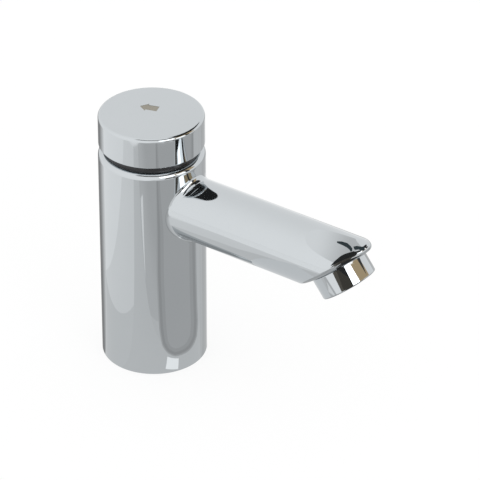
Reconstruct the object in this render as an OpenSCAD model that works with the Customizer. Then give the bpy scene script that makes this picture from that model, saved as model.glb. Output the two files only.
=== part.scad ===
// Self-closing push tap: an upright pillar, a round spout with an oblique outlet end and a push cap.
// All sizes are millimetres. The origin is the centre of the base, Z is up and the spout runs along X.

/* [Pillar] */
// Diameter of the pillar
pillar_d = 48; // [46:0.5:54]
// Height of the pillar's top rim above the base
pillar_h = 105.4; // [102:0.2:112]
// Rounding of the top rim
rim_round = 1.0; // [0.4:0.1:1.6]
// Rounding of the base edge
base_round = 0.5; // [0.2:0.1:1.0]

/* [Spout] */
// Diameter of the round spout
spout_d = 28.5; // [28:0.25:30]
// Drop from the top rim to the spout's centre line
spout_drop = 22.8; // [22:0.2:25]
// Reach from the pillar's axis to the oblique face, on the spout's centre line
spout_reach = 102; // [92:1:125]
// Angle of the outlet below the horizontal
outlet_angle = 51.5; // [47:0.5:55]
// Rounding of the oblique face's edge
nose_round = 2.0; // [1.2:0.1:2.4]
// Fillet between spout and pillar
junction_fillet = 3.0; // [2:0.25:4]
// Diameter of the waterway drilled along the spout
waterway_d = 7; // [6:0.25:7.5]
// Rise of the waterway above the spout's centre line
waterway_rise = 3.0; // [2.8:0.1:3.4]

/* [Push cap] */
// Setback of the cap's side from the pillar's side
cap_setback = 0.25; // [0.1:0.05:0.6]
// Height of the cap
cap_h = 14.8; // [14:0.2:18]
// Open gap between cap and pillar at rest
press_gap = 3.2; // [3.2:0.1:4.2]
// Rounding of the cap's top edge
cap_round = 1.6; // [0.8:0.1:2.4]
// Thickness of the cap's side wall
cap_wall = 2.2; // [1.8:0.1:2.6]
// Thickness of the cap's top
cap_top_t = 4.0; // [3:0.1:4.6]
// Diameter of the boss under the cap's top
cap_boss_d = 12; // [11:0.25:14]

/* [Base] */
// Bore of the threaded inlet
inlet_d = 18.6; // [18:0.1:19]
// Depth of the threaded inlet
inlet_depth = 12; // [11:0.25:13]
// Bore of the strainer's recess above the inlet
recess_d = 17; // [16.4:0.1:17.6]
// Bore of the channel above the inlet
channel_d = 12; // [11.6:0.1:13]
// Inner diameter of the gasket's groove
gasket_in_d = 36; // [35:0.25:37]
// Outer diameter of the gasket's groove
gasket_out_d = 43; // [42:0.25:44]
// Thickness of the base gasket
gasket_t = 2; // [1.5:0.1:2.5]
// Spacing of the two fixing-stud holes
stud_spacing = 27.2; // [26.6:0.1:28]
// Bore of a fixing-stud hole
stud_d = 5; // [4.6:0.1:5.4]
// Depth of a fixing-stud hole
stud_depth = 12; // [9:0.5:13]

/* [Valve cartridge] */
// Bore of the pillar for the cartridge
cartridge_d = 30; // [29.5:0.1:30.5]
// Bore of the pillar for the head nut
head_d = 34; // [33.4:0.1:35]
// Length of the cartridge sleeve
sleeve_h = 46.4; // [45:0.2:48]
// Bore of the cartridge sleeve
sleeve_bore_d = 21; // [20.6:0.1:21.4]
// Outer diameter of the sleeve's waist
sleeve_waist_d = 26; // [25.4:0.1:26.6]
// Height of the sleeve's lower land
land_h = 8; // [7:0.25:9]
// Diameter of a window in the sleeve
window_d = 6; // [4.5:0.25:6]
// Height of the cartridge cover's disc
cover_h = 4; // [3.8:0.1:4.6]
// Height of the head nut
head_nut_h = 7; // [6.4:0.1:8]
// Height of the guide ring's skirt inside the pillar
guide_skirt_h = 3; // [2.6:0.1:3.6]
// Height of the guide ring above the rim
guide_h = 8; // [6:0.25:8.5]
// Height of the valve seat's flange
seat_h = 4; // [3.4:0.1:4.6]
// Bore of the valve seat
seat_bore_d = 10; // [9:0.25:10.5]
// Thickness of the seal under the seat
seat_seal_t = 1; // [0.8:0.1:1.4]
// Bore of the chamber under the seat
chamber_d = 20; // [19.4:0.1:20.6]
// Depth of the chamber under the seat
chamber_depth = 18; // [16.5:0.25:18.5]

/* [Button gear] */
// Diameter of the spindle's lower rod
rod_d = 5; // [4.6:0.1:5.4]
// Diameter of the spindle's upper stem
stem_d = 7; // [6.6:0.1:7.4]
// Diameter of the spindle's threaded top
tip_d = 6; // [5.4:0.1:6.2]
// Height of the piston
piston_h = 6; // [5.4:0.1:7]
// Distance from the seat's top to the piston's underside
spring_room = 21; // [20:0.25:23]
// Wire diameter of the return spring
wire_d = 1.8; // [1.4:0.1:2.0]
// Mean diameter of the return spring
spring_d = 15.2; // [14.8:0.1:15.6]
// Turns of the return spring
spring_turns = 5.6; // [4.6:0.2:6.2]
// Diameter of the valve washer
washer_d = 16; // [15:0.25:16.5]
// Thickness of the valve washer
washer_t = 2; // [1.6:0.1:2.4]
// Thickness of the washer's carrier
carrier_t = 3; // [2.4:0.1:3.4]
// Height of the valve nut and of the lock nut
nut_h = 3.4; // [2.8:0.1:3.8]

/* [Outlet] */
// Outer diameter of the outlet collar
collar_d = 25.8; // [25.2:0.1:26.6]
// Height of the outlet collar
collar_h = 10; // [9:0.2:11]
// Drop of the outlet's axis below the spout's centre line, along the oblique face
outlet_drop = 1.4; // [0.8:0.1:1.8]
// Bore of the threaded outlet pocket
pocket_d = 24; // [23.4:0.1:24.2]
// Depth of the threaded outlet pocket
pocket_h = 6; // [5.4:0.1:6.2]
// Bore of the outlet collar
collar_bore_d = 20.4; // [20:0.1:20.8]
// Thickness of the outlet washer
outlet_seal_t = 1.4; // [1.2:0.1:1.8]
// Holes in one row through the middle of the flow straightener
straightener_row = 5; // [3:2:5]
// Holes in one row through the middle of the outlet screen
screen_row = 7; // [5:2:7]

/* [Hidden] */

// Facets of large turned faces, of the stem, of small bores, of ring sections and of fine holes
$fn = 96;
stem_fn = 64;
small_fn = 48;
wire_fn = 32;
hole_fn = 24;
hexagon = 6;

// Clearances
run_clear = 0.3;
thread_clear = 0.1;
slip_clear = 0.05;
edge_clear = 0.5;
cut_over = 1;

// Radii and heights of the pillar
pillar_r = pillar_d / 2;
spout_r = spout_d / 2;
spout_z = pillar_h - spout_drop;
cartridge_r = cartridge_d / 2;
head_r = head_d / 2;
channel_r = channel_d / 2;
inlet_r = inlet_d / 2;
chamber_r = chamber_d / 2;

// Heights of the stack inside the pillar, from the rim down
nut_top_z = pillar_h - guide_skirt_h;
nut_z = nut_top_z - head_nut_h;
cover_z = nut_z - cover_h;
sleeve_z = cover_z - sleeve_h;
seat_z = sleeve_z - seat_h;
shoulder_z = seat_z - seat_seal_t;
chamber_z = shoulder_z - chamber_depth;
head_floor_z = nut_z - edge_clear;

// Cap
cap_r = pillar_r - cap_setback;
cap_z = pillar_h + press_gap;
cap_top_z = cap_z + cap_h;
cap_in_r = cap_r - cap_wall;
ceiling_z = cap_top_z - cap_top_t;
cap_low_round = 0.7;
boss_r = cap_boss_d / 2;
boss_rise = 3.4;
boss_z = cap_z + boss_rise;
guide_r = cap_in_r - edge_clear;
guide_in_r = 14;
guide_top_z = pillar_h + guide_h;

// Cartridge
fit_r = cartridge_r - thread_clear;
sleeve_r = sleeve_bore_d / 2;
waist_r = sleeve_waist_d / 2;
ring_wire_r = 1.2;
ring_groove_h = 2.8;
sleeve_ring_z = sleeve_z + land_h / 2;
cover_wire_r = 1.1;
cover_groove_h = 2.5;
cover_ring_z = cover_z + cover_h / 2;
windows = 4;
window_margin = 1;
window_z = sleeve_z + land_h + window_d / 2 + window_margin;
seat_r = seat_bore_d / 2;
lip_h = 0.6;
lip_z = shoulder_z - lip_h;
lip_w = 1.4;
stem_r = stem_d / 2;
rod_r = rod_d / 2;
tip_r = tip_d / 2;
bush_in_r = stem_r + run_clear;
bush_wall = 2.2;
bush_r = bush_in_r + bush_wall;
bush_over = 1.9;
bush_h = cover_h + bush_over;
stem_wire_r = 1.1;
cover_boss_wall = 1.5;
cover_boss_r = bush_r + cover_boss_wall;
cover_boss_roof = 1.4;
cover_boss_z = cover_z + bush_h + 2 * stem_wire_r + cover_boss_roof;
head_bore_clear = 1;
head_bore_r = cover_boss_r + head_bore_clear;
nut_slots = 4;
nut_slot_w = 3;
nut_slot_h = 2;

// Moving gear
piston_z = sleeve_z + spring_room;
piston_top_z = piston_z + piston_h;
piston_r = sleeve_r - run_clear;
piston_groove_depth = 2;
piston_groove_r = piston_r - piston_groove_depth;
piston_groove_h = 2;
piston_groove_low = piston_z + (piston_h - piston_groove_h) / 2;
piston_groove_high = piston_groove_low + piston_groove_h;
clip_h = 1.2;
clip_r = 5;
washer_r = washer_d / 2;
carrier_z = lip_z - washer_t - carrier_t;
carrier_r = washer_r + edge_clear;
valve_nut_z = carrier_z - nut_h;
rod_end_h = 0.8;
rod_end_z = valve_nut_z - rod_end_h;
valve_nut_r = 4.6;
lock_nut_z = boss_z - nut_h;
lock_nut_r = 5.8;
tip_clear = 1;
tip_top_z = ceiling_z - tip_clear;
wire_r = wire_d / 2;
spring_r = spring_d / 2;
spring_low = sleeve_z + wire_r;
spring_high = piston_z - wire_r;
spring_steps = 20;
spring_sides = 8;

// Strainer in its recess above the inlet
recess_r = recess_d / 2;
recess_h = 2.2;
recess_z = inlet_depth + recess_h;
strainer_z = inlet_depth;
strainer_flange_h = 0.8;
strainer_clear = 0.6;
strainer_r = channel_r - strainer_clear;
strainer_wall = 0.6;
basket_h = 5;
strainer_top_z = recess_z + basket_h;
mesh_hole_r = 0.8;
mesh_rows = 2;
mesh_row_h = 2.2;
mesh_low_z = recess_z + 1.5 * mesh_hole_r;
mesh_count = 8;
mesh_angle = 360 / mesh_count;
mesh_turn = mesh_angle / 4;

// Outlet frame: origin on the oblique face, its axis out along the stream
waterway_r = waterway_d / 2;
outlet_x = spout_reach - outlet_drop * sin(outlet_angle);
outlet_z = spout_z - outlet_drop * cos(outlet_angle);
pocket_r = pocket_d / 2;
shank_r = pocket_r - thread_clear;
collar_r = collar_d / 2;
collar_bore_r = collar_bore_d / 2;
insert_r = collar_bore_r - thread_clear;
collar_lip_w = 0.7;
collar_lip_r = collar_bore_r - collar_lip_w;
collar_lip_h = 1.2;
collar_edge = 0.6;
mouth_step = 2.5;
mouth_r = waterway_r + mouth_step;
mouth_h = 4.5;
screen_h = 2;
regulator_h = 2.6;
shank_h = pocket_h - outlet_seal_t;
outlet_seal_in_r = 7;
straightener_low = regulator_h - shank_h;
straightener_high = collar_h - collar_lip_h - screen_h;
straightener_pitch = 4.1;
straightener_hole_r = 1.5;
screen_pitch = 2.8;
screen_hole_r = 1.0;
regulator_holes = 6;
regulator_hole_r = 1.2;
waterway_short = 9;
waterway_end = spout_reach - waterway_short;

// Loops of the two blended edges, and how far their hidden corners lie inside or outside the metal
edge_loops = 60;
edge_steps = 5;
edge_over = 0.06;
fillet_root = 2;
fillet_core = 0.8 * spout_r;
nose_over = 1.5;

// Finishes
chrome = [0.57, 0.60, 0.62];
brass = [0.76, 0.60, 0.32];
steel = [0.66, 0.67, 0.69];
rubber = [0.07, 0.07, 0.08];
black = [0.05, 0.05, 0.06];
white = [0.86, 0.86, 0.84];

// Solid of revolution with a rounded upper outer edge and a rounded lower outer edge
module turned(r, z0, z1, top_round, low_round) {
  rotate_extrude() {
    difference() {
      translate([0, z0]) square([r, z1 - z0]);
      rounding_cut(r, z1, top_round, 1);
      rounding_cut(r, z0, low_round, -1);
    }
  }
}

// Corner of a profile that a rounded edge leaves away
module rounding_cut(r, z, round, side) {
  difference() {
    translate([r - round, side > 0 ? z - round : z - cut_over]) square(round + cut_over);
    translate([r - round, z - side * round]) circle(r = round);
  }
}

// Plain ring
module ring(r_in, r_out, z0, z1) {
  difference() {
    translate([0, 0, z0]) cylinder(r = r_out, h = z1 - z0);
    translate([0, 0, z0 - cut_over]) cylinder(r = r_in, h = z1 - z0 + 2 * cut_over);
  }
}

// Round-section ring
module o_ring(r_mid, wire, z) {
  translate([0, 0, z]) rotate_extrude() translate([r_mid, 0]) circle(r = wire, $fn = wire_fn);
}

// Groove for a ring seal in an outer face, with its middle at a height
module seal_groove(r_in, r_out, z, h) {
  ring(r_in, r_out + cut_over, z - h / 2, z + h / 2);
}

// Moves its children to the outlet: Z runs out along the stream
module at_outlet() {
  translate([outlet_x, 0, outlet_z]) rotate([0, 90 + outlet_angle, 0]) children();
}

// Turns its children to run along the spout, at a height above its centre line
module along_spout(rise) {
  translate([0, 0, spout_z + rise]) rotate([0, 90, 0]) children();
}

// Hexagon field of holes with a number of holes in its middle row
module hole_field(row, pitch, r, z0, z1) {
  half = (row - 1) / 2;
  for (j = [-half : half]) {
    count = row - abs(j);
    for (i = [0 : count - 1]) {
      translate([(i - (count - 1) / 2) * pitch, j * pitch * sin(60), z0])
        cylinder(r = r, h = z1 - z0, $fn = hole_fn);
    }
  }
}

// Direction part of the way from one unit vector to another
function turned_dir(a, b, s) =
  let (w = acos(a * b)) (sin((1 - s) * w) * a + sin(s * w) * b) / sin(w);

// Faces of a closed ring of loops
function ring_faces(loops, points) = [
  for (i = [0 : loops - 1], j = [0 : points - 1])
    let (k = (i + 1) % loops, m = (j + 1) % points, a = i * points, b = k * points)
      each [[a + j, b + j, b + m], [a + j, b + m, a + m]]
];

// Fillet between spout and pillar, as the surface of a ball that rolls along both
function fillet_centre(t) =
  let (y = -(spout_r + junction_fillet) * sin(t))
    [sqrt(pow(pillar_r + junction_fillet, 2) - y * y), y, spout_z + (spout_r + junction_fillet) * cos(t)];

function fillet_loop(t) =
  let (c = fillet_centre(t),
       to_spout = [0, sin(t), -cos(t)],
       to_pillar = [-c[0], -c[1], 0] / (pillar_r + junction_fillet),
       r = junction_fillet + edge_over,
       root_x = c[0] * pillar_r / (pillar_r + junction_fillet) - fillet_root)
    concat(
      [for (k = [0 : edge_steps]) c + r * turned_dir(to_spout, to_pillar, k / edge_steps)],
      [[root_x, -fillet_core * sin(t), spout_z + fillet_core * cos(t)]]);

module junction_fillet_ring() {
  polyhedron(
    points = [for (i = [0 : edge_loops - 1]) each fillet_loop(i * 360 / edge_loops)],
    faces = ring_faces(edge_loops, edge_steps + 2));
}

// What the rounded edge of the oblique face leaves away
function nose_loop(t) =
  let (e = [0, -sin(t), cos(t)],
       n = [cos(outlet_angle), 0, -sin(outlet_angle)],
       axis = [spout_reach, 0, spout_z],
       q = spout_r - nose_round,
       r = nose_round + edge_over,
       c = axis + q * e + [q * cos(t) * tan(outlet_angle) - nose_round / cos(outlet_angle), 0, 0],
       s = axis + spout_r * e + [spout_r * cos(t) * tan(outlet_angle), 0, 0])
    concat(
      [for (k = [0 : edge_steps]) c + r * turned_dir(e, n, k / edge_steps)],
      [s + nose_over * (e + n)]);

module nose_round_ring() {
  polyhedron(
    points = [for (i = [0 : edge_loops - 1]) each nose_loop(i * 360 / edge_loops)],
    faces = ring_faces(edge_loops, edge_steps + 2));
}

// Pillar and spout: one plated casting with all its bores
module body_casting() {
  color(chrome) difference() {
    union() {
      turned(pillar_r, 0, pillar_h, rim_round, base_round);
      difference() {
        along_spout(0) cylinder(r = spout_r, h = spout_reach + 2 * spout_d);
        at_outlet() translate([0, 0, 2 * spout_d]) cube(4 * spout_d, center = true);
        nose_round_ring();
      }
      junction_fillet_ring();
    }
    // inlet, channel and valve chamber
    translate([0, 0, -cut_over]) cylinder(r = inlet_r, h = inlet_depth + cut_over);
    cylinder(r = recess_r, h = recess_z);
    cylinder(r = channel_r, h = chamber_z + cut_over);
    translate([0, 0, chamber_z]) cylinder(r = chamber_r, h = chamber_depth + cut_over);
    translate([0, 0, shoulder_z]) cylinder(r = cartridge_r, h = pillar_h);
    translate([0, 0, head_floor_z]) cylinder(r = head_r, h = pillar_h);
    // gasket groove and stud holes
    ring(gasket_in_d / 2, gasket_out_d / 2, -cut_over, gasket_t);
    for (side = [-1, 1]) {
      translate([0, side * stud_spacing / 2, -cut_over])
        cylinder(r = stud_d / 2, h = stud_depth + cut_over, $fn = small_fn);
    }
    // waterway and outlet pocket
    along_spout(waterway_rise) cylinder(r = waterway_r, h = waterway_end, $fn = small_fn);
    at_outlet() translate([0, 0, -pocket_h]) cylinder(r = pocket_r, h = pocket_h + cut_over);
    at_outlet() translate([0, 0, -pocket_h - mouth_h]) cylinder(r = mouth_r, h = mouth_h + cut_over);
  }
}

// Sealing ring set in the base
module base_gasket() {
  color(rubber) ring(gasket_in_d / 2 + slip_clear, gasket_out_d / 2 - slip_clear, 0, gasket_t);
}

// Basket strainer in the inlet
module inlet_strainer() {
  color(steel) difference() {
    union() {
      ring(strainer_r - strainer_wall, recess_r - thread_clear, strainer_z, strainer_z + strainer_flange_h);
      ring(strainer_r - strainer_wall, strainer_r, strainer_z, strainer_top_z);
      translate([0, 0, strainer_top_z - strainer_wall]) cylinder(r = strainer_r, h = strainer_wall);
    }
    for (row = [0 : mesh_rows - 1], i = [0 : mesh_count - 1]) {
      rotate([0, 0, (i + row / 2) * mesh_angle + mesh_turn])
        translate([strainer_r - 2 * strainer_wall, 0, mesh_low_z + row * mesh_row_h])
          rotate([0, 90, 0]) cylinder(r = mesh_hole_r, h = 3 * strainer_wall, $fn = hole_fn);
    }
  }
}

// Flat ring between strainer and inlet shoulder
module strainer_seal() {
  color(rubber)
    ring(strainer_r + slip_clear, recess_r - thread_clear, strainer_z + strainer_flange_h, recess_z);
}

// Flat ring between valve seat and pillar shoulder
module seat_seal() {
  color(rubber) ring(chamber_r, fit_r, shoulder_z, seat_z);
}

// Valve seat with its lip facing down
module valve_seat() {
  color(brass) difference() {
    union() {
      translate([0, 0, seat_z]) cylinder(r = fit_r, h = seat_h);
      translate([0, 0, shoulder_z]) cylinder(r = chamber_r - run_clear, h = seat_seal_t + seat_h / 2);
      translate([0, 0, lip_z]) cylinder(r = seat_r + lip_w, h = seat_seal_t + seat_h / 2);
    }
    translate([0, 0, lip_z - cut_over]) cylinder(r = seat_r, h = seat_h + seat_seal_t + 3 * cut_over);
  }
}

// Cartridge sleeve: lower land, waist and four windows
module cartridge_sleeve() {
  color(white) difference() {
    union() {
      translate([0, 0, sleeve_z]) cylinder(r = fit_r, h = land_h);
      translate([0, 0, sleeve_z]) cylinder(r = waist_r, h = sleeve_h);
    }
    translate([0, 0, sleeve_z - cut_over]) cylinder(r = sleeve_r, h = sleeve_h + 2 * cut_over);
    seal_groove(cartridge_r - 2 * ring_wire_r, cartridge_r, sleeve_ring_z, ring_groove_h);
    for (i = [0 : windows - 1]) {
      translate([0, 0, window_z]) rotate([0, 90, (i + 0.5) * 360 / windows])
        cylinder(r = window_d / 2, h = cartridge_r, $fn = small_fn);
    }
  }
}

// Seal of the sleeve's lower land
module sleeve_o_ring() {
  color(rubber) o_ring(cartridge_r - ring_wire_r, ring_wire_r, sleeve_ring_z);
}

// Cartridge cover with the spindle's guide boss
module cartridge_cover() {
  color(white) difference() {
    union() {
      translate([0, 0, cover_z]) cylinder(r = fit_r, h = cover_h);
      translate([0, 0, cover_z]) cylinder(r = cover_boss_r, h = cover_boss_z - cover_z);
    }
    translate([0, 0, cover_z - cut_over]) cylinder(r = bush_r, h = bush_h + 2 * stem_wire_r + cut_over);
    translate([0, 0, cover_z]) cylinder(r = bush_in_r, h = cover_boss_z);
    seal_groove(cartridge_r - 2 * cover_wire_r, cartridge_r, cover_ring_z, cover_groove_h);
  }
}

// Seal of the cartridge cover
module cover_o_ring() {
  color(rubber) o_ring(cartridge_r - cover_wire_r, cover_wire_r, cover_ring_z);
}

// Plain bearing of the spindle
module spindle_bush() {
  color(brass) ring(bush_in_r, bush_r, cover_z, cover_z + bush_h);
}

// Seal round the spindle, on top of its bearing
module spindle_o_ring() {
  color(rubber) o_ring(bush_r - stem_wire_r, stem_wire_r, cover_z + bush_h + stem_wire_r);
}

// Threaded nut that clamps the cartridge, with four spanner slots
module head_nut() {
  color(brass) difference() {
    ring(head_bore_r, head_r - thread_clear, nut_z, nut_top_z);
    for (i = [0 : nut_slots / 2 - 1]) {
      rotate([0, 0, i * 360 / nut_slots]) translate([-head_r, -nut_slot_w / 2, nut_top_z - nut_slot_h])
        cube([head_d, nut_slot_w, nut_slot_h + cut_over]);
    }
  }
}

// Dark ring that guides the cap and shows in the gap
module cap_guide_ring() {
  color(black) difference() {
    union() {
      translate([0, 0, nut_top_z]) cylinder(r = head_r - thread_clear, h = guide_skirt_h + cut_over);
      translate([0, 0, pillar_h]) cylinder(r = guide_r, h = guide_h);
    }
    translate([0, 0, nut_top_z - cut_over])
      cylinder(r = guide_in_r, h = guide_h + guide_skirt_h + 2 * cut_over);
  }
}

// Flat seal at the floor of the outlet pocket
module outlet_washer() {
  color(rubber) at_outlet() ring(outlet_seal_in_r, shank_r, -pocket_h, -shank_h);
}

// Outlet collar with its threaded shank
module outlet_collar() {
  color(chrome) at_outlet() difference() {
    union() {
      translate([0, 0, -shank_h]) cylinder(r = shank_r, h = shank_h + cut_over);
      turned(collar_r, 0, collar_h, collar_edge, collar_edge / 2);
    }
    translate([0, 0, -shank_h - cut_over])
      cylinder(r = collar_bore_r, h = shank_h + collar_h - collar_lip_h + cut_over);
    cylinder(r = collar_lip_r, h = collar_h + cut_over);
  }
}

// Disc that limits the flow
module flow_regulator() {
  color(black) at_outlet() difference() {
    translate([0, 0, -shank_h]) cylinder(r = insert_r, h = regulator_h);
    for (i = [0 : regulator_holes - 1]) {
      rotate([0, 0, i * 360 / regulator_holes]) translate([insert_r / 2, 0, -shank_h - cut_over])
        cylinder(r = regulator_hole_r, h = regulator_h + 2 * cut_over, $fn = hole_fn);
    }
  }
}

// Body with straight channels
module flow_straightener() {
  color(white) at_outlet() difference() {
    translate([0, 0, straightener_low]) cylinder(r = insert_r, h = straightener_high - straightener_low);
    hole_field(straightener_row, straightener_pitch, straightener_hole_r,
      straightener_low - cut_over, straightener_high + cut_over);
  }
}

// Screen that shows at the outlet
module outlet_screen() {
  color(white) at_outlet() difference() {
    translate([0, 0, straightener_high]) cylinder(r = insert_r, h = screen_h);
    hole_field(screen_row, screen_pitch, screen_hole_r,
      straightener_high - cut_over, straightener_high + screen_h + cut_over);
  }
}

// Push cap: plated shell with a threaded boss
module push_cap() {
  color(chrome) difference() {
    turned(cap_r, cap_z, cap_top_z, cap_round, cap_low_round);
    difference() {
      translate([0, 0, cap_z - cut_over]) cylinder(r = cap_in_r, h = ceiling_z - cap_z + cut_over);
      translate([0, 0, boss_z]) cylinder(r = boss_r, h = cap_h);
    }
    translate([0, 0, boss_z - cut_over])
      cylinder(r = tip_r + slip_clear, h = tip_top_z - boss_z + cut_over, $fn = small_fn);
  }
}

// Spindle from the cap down to the valve
module spindle() {
  color(steel) union() {
    translate([0, 0, rod_end_z])
      cylinder(r = rod_r, h = piston_top_z - rod_end_z + cut_over, $fn = small_fn);
    translate([0, 0, piston_top_z]) cylinder(r = stem_r, h = lock_nut_z - piston_top_z, $fn = stem_fn);
    translate([0, 0, lock_nut_z - cut_over])
      cylinder(r = tip_r, h = tip_top_z - lock_nut_z + cut_over, $fn = small_fn);
  }
}

// Nut that locks the cap on the spindle
module spindle_lock_nut() {
  color(steel) difference() {
    translate([0, 0, lock_nut_z]) cylinder(r = lock_nut_r, h = nut_h, $fn = hexagon);
    translate([0, 0, lock_nut_z - cut_over])
      cylinder(r = tip_r + slip_clear, h = nut_h + 2 * cut_over, $fn = small_fn);
  }
}

// Damping piston
module piston() {
  color(white) difference() {
    translate([0, 0, piston_z]) cylinder(r = piston_r, h = piston_h);
    translate([0, 0, piston_z - cut_over])
      cylinder(r = rod_r + slip_clear, h = piston_h + 2 * cut_over, $fn = small_fn);
    seal_groove(piston_groove_r, piston_r, piston_z + piston_h / 2, piston_groove_h);
  }
}

// Seal in the piston's groove
module piston_seal() {
  color(rubber) ring(piston_groove_r, piston_r, piston_groove_low, piston_groove_high);
}

// Ring that holds the piston against the stem's shoulder
module retaining_ring() {
  color(steel) ring(rod_r, clip_r, piston_z - clip_h, piston_z);
}

// Soft washer that closes the seat from below
module valve_washer() {
  color(rubber) ring(rod_r, washer_r, lip_z - washer_t, lip_z);
}

// Plate that carries the valve washer
module valve_carrier() {
  color(brass) ring(rod_r, carrier_r, carrier_z, carrier_z + carrier_t);
}

// Nut under the carrier
module valve_nut() {
  color(brass) difference() {
    translate([0, 0, valve_nut_z]) cylinder(r = valve_nut_r, h = nut_h, $fn = hexagon);
    translate([0, 0, valve_nut_z - cut_over]) cylinder(r = rod_r, h = nut_h + 2 * cut_over, $fn = small_fn);
  }
}

// Centre line of the return spring
function spring_point(s) =
  let (a = 360 * spring_turns * s)
    [spring_r * cos(a), spring_r * sin(a), spring_low + (spring_high - spring_low) * s];

// Section of the return spring's wire
function spring_loop(s) =
  let (a = 360 * spring_turns * s, out = [cos(a), sin(a), 0], c = spring_point(s))
    [for (j = [0 : spring_sides - 1])
      let (b = j * 360 / spring_sides)
        c + wire_r * (cos(b) * out + [0, 0, sin(b)])];

// Least gap between two turns, measured on points that lie half a turn or more apart
spring_count = round(spring_turns * spring_steps);
spring_line = [for (i = [0 : spring_count]) spring_point(i / spring_count)];
spring_apart = spring_steps / 2;
spring_gap = min([for (i = [0 : spring_count - spring_apart], j = [i + spring_apart : spring_count])
  norm(spring_line[i] - spring_line[j])]) - wire_d;
echo(least_gap_between_spring_turns = spring_gap);

// Return spring: one unbroken wire
module return_spring() {
  n = spring_count;
  m = spring_sides;
  color(steel) polyhedron(
    points = [for (i = [0 : n]) each spring_loop(i / n)],
    faces = concat(
      [[for (j = [0 : m - 1]) j]],
      [for (i = [0 : n - 1], j = [0 : m - 1])
        let (k = (j + 1) % m, a = i * m, b = (i + 1) * m)
          each [[a + j, b + j, b + k], [a + j, b + k, a + k]]],
      [[for (j = [m - 1 : -1 : 0]) n * m + j]]));
}

body_casting();
base_gasket();
inlet_strainer();
strainer_seal();
seat_seal();
valve_seat();
cartridge_sleeve();
sleeve_o_ring();
cartridge_cover();
cover_o_ring();
spindle_bush();
spindle_o_ring();
head_nut();
cap_guide_ring();
outlet_washer();
outlet_collar();
flow_regulator();
flow_straightener();
outlet_screen();
push_cap();
spindle();
spindle_lock_nut();
piston();
piston_seal();
retaining_ring();
valve_washer();
valve_carrier();
valve_nut();
return_spring();
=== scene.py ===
"""Dresses the push timed tap: casting, push cap, outlet fitting, inner works and the studio round them."""

import logging
import math
from dataclasses import dataclass, field
from enum import Enum
from typing import Iterable, Sequence

import bmesh
import bpy
from mathutils import Matrix, Vector


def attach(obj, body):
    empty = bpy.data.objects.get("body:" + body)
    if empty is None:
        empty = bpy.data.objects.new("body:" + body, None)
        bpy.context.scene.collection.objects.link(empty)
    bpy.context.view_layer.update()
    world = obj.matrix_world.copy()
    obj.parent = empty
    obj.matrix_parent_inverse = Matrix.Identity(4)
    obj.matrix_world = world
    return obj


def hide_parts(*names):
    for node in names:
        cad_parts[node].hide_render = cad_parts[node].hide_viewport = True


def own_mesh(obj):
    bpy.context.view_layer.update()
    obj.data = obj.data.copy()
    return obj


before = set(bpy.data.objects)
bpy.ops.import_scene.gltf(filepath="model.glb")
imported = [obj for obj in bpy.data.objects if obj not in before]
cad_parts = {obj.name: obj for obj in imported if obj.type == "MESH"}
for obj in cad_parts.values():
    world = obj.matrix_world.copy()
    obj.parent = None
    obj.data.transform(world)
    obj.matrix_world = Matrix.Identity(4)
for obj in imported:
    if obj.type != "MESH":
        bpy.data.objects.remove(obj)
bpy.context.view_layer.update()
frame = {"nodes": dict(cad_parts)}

LOG = logging.getLogger("tap")
MM = 0.001
POINT_KEY = 1.0e4
RING_SEGMENTS = 160
Pair = tuple[float, float]
Triple = tuple[float, float, float]
Colour = Triple
ProfilePoint = tuple[float, float, float, float]
Corner = tuple[Vector, Vector]
Output = tuple[bpy.types.Node, str]
PLAIN_LIGHT: Colour = (1.0, 1.0, 1.0)


class Body(Enum):
    """Bodies of the frame that pieces ride on."""

    TAP = "tap"
    BUTTON = "button"


class Slot(Enum):
    """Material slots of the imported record."""

    CHROME = "chrome_plate"
    BRASS = "brass"
    STEEL = "steel"
    RUBBER = "rubber"
    BLACK = "black_polymer"
    WHITE = "white_polymer"


def ring_angles(segments: int = RING_SEGMENTS) -> list[float]:
    """Angles of a full turn, in radians, starting on the X axis."""
    return [2.0 * math.pi * i / segments for i in range(segments)]


def slerp(a: Vector, b: Vector, share: float) -> Vector:
    """Direction part of the way from one unit vector to another.

    Args:
        a: Direction at share 0.
        b: Direction at share 1.
        share: How far to go, from 0 to 1.

    Returns:
        The unit vector between them.
    """
    w = math.acos(max(-1.0, min(1.0, a.dot(b))))
    return (a * math.sin((1.0 - share) * w) + b * math.sin(share * w)) / math.sin(w)


def ramp(value: float, low: float, high: float) -> float:
    """Smooth step from 0 at one value to 1 at another."""
    share = max(0.0, min(1.0, (value - low) / (high - low)))
    return share * share * (3.0 - 2.0 * share)


def path_strips(points: Sequence[Pair], flip: bool = False, steps: int = 1) -> list[list[ProfilePoint]]:
    """Straight stretches of a turned profile, one between each two points.

    Args:
        points: Radius and height of each point.
        flip: Whether the faces look to the left of the path, and not to its right.
        steps: Number of parts that each stretch is split into.

    Returns:
        Profile points with their normals, stretch by stretch.
    """
    strips = []
    shares = [i / steps for i in range(steps + 1)]
    for (r0, z0), (r1, z1) in zip(points, points[1:]):
        size = math.hypot(r1 - r0, z1 - z0) * (-1.0 if flip else 1.0)
        nr, nz = (z1 - z0) / size, (r0 - r1) / size
        strips.append([(r0 + (r1 - r0) * s, z0 + (z1 - z0) * s, nr, nz) for s in shares])
    return strips


def edge_strip(centre: Pair, radius: float, start: float, end: float, steps: int = 8) -> list[ProfilePoint]:
    """Rounded edge of a turned profile.

    Args:
        centre: Radius and height of the rounding's centre.
        radius: Radius of the rounding.
        start: First angle in degrees, 0 outwards and 90 up.
        end: Last angle in degrees.
        steps: Number of stretches.

    Returns:
        Profile points with their normals.
    """
    points = []
    for i in range(steps + 1):
        a = math.radians(start + (end - start) * i / steps)
        out, up = math.cos(a), math.sin(a)
        points.append((centre[0] + radius * out, centre[1] + radius * up, out, up))
    return points


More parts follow.
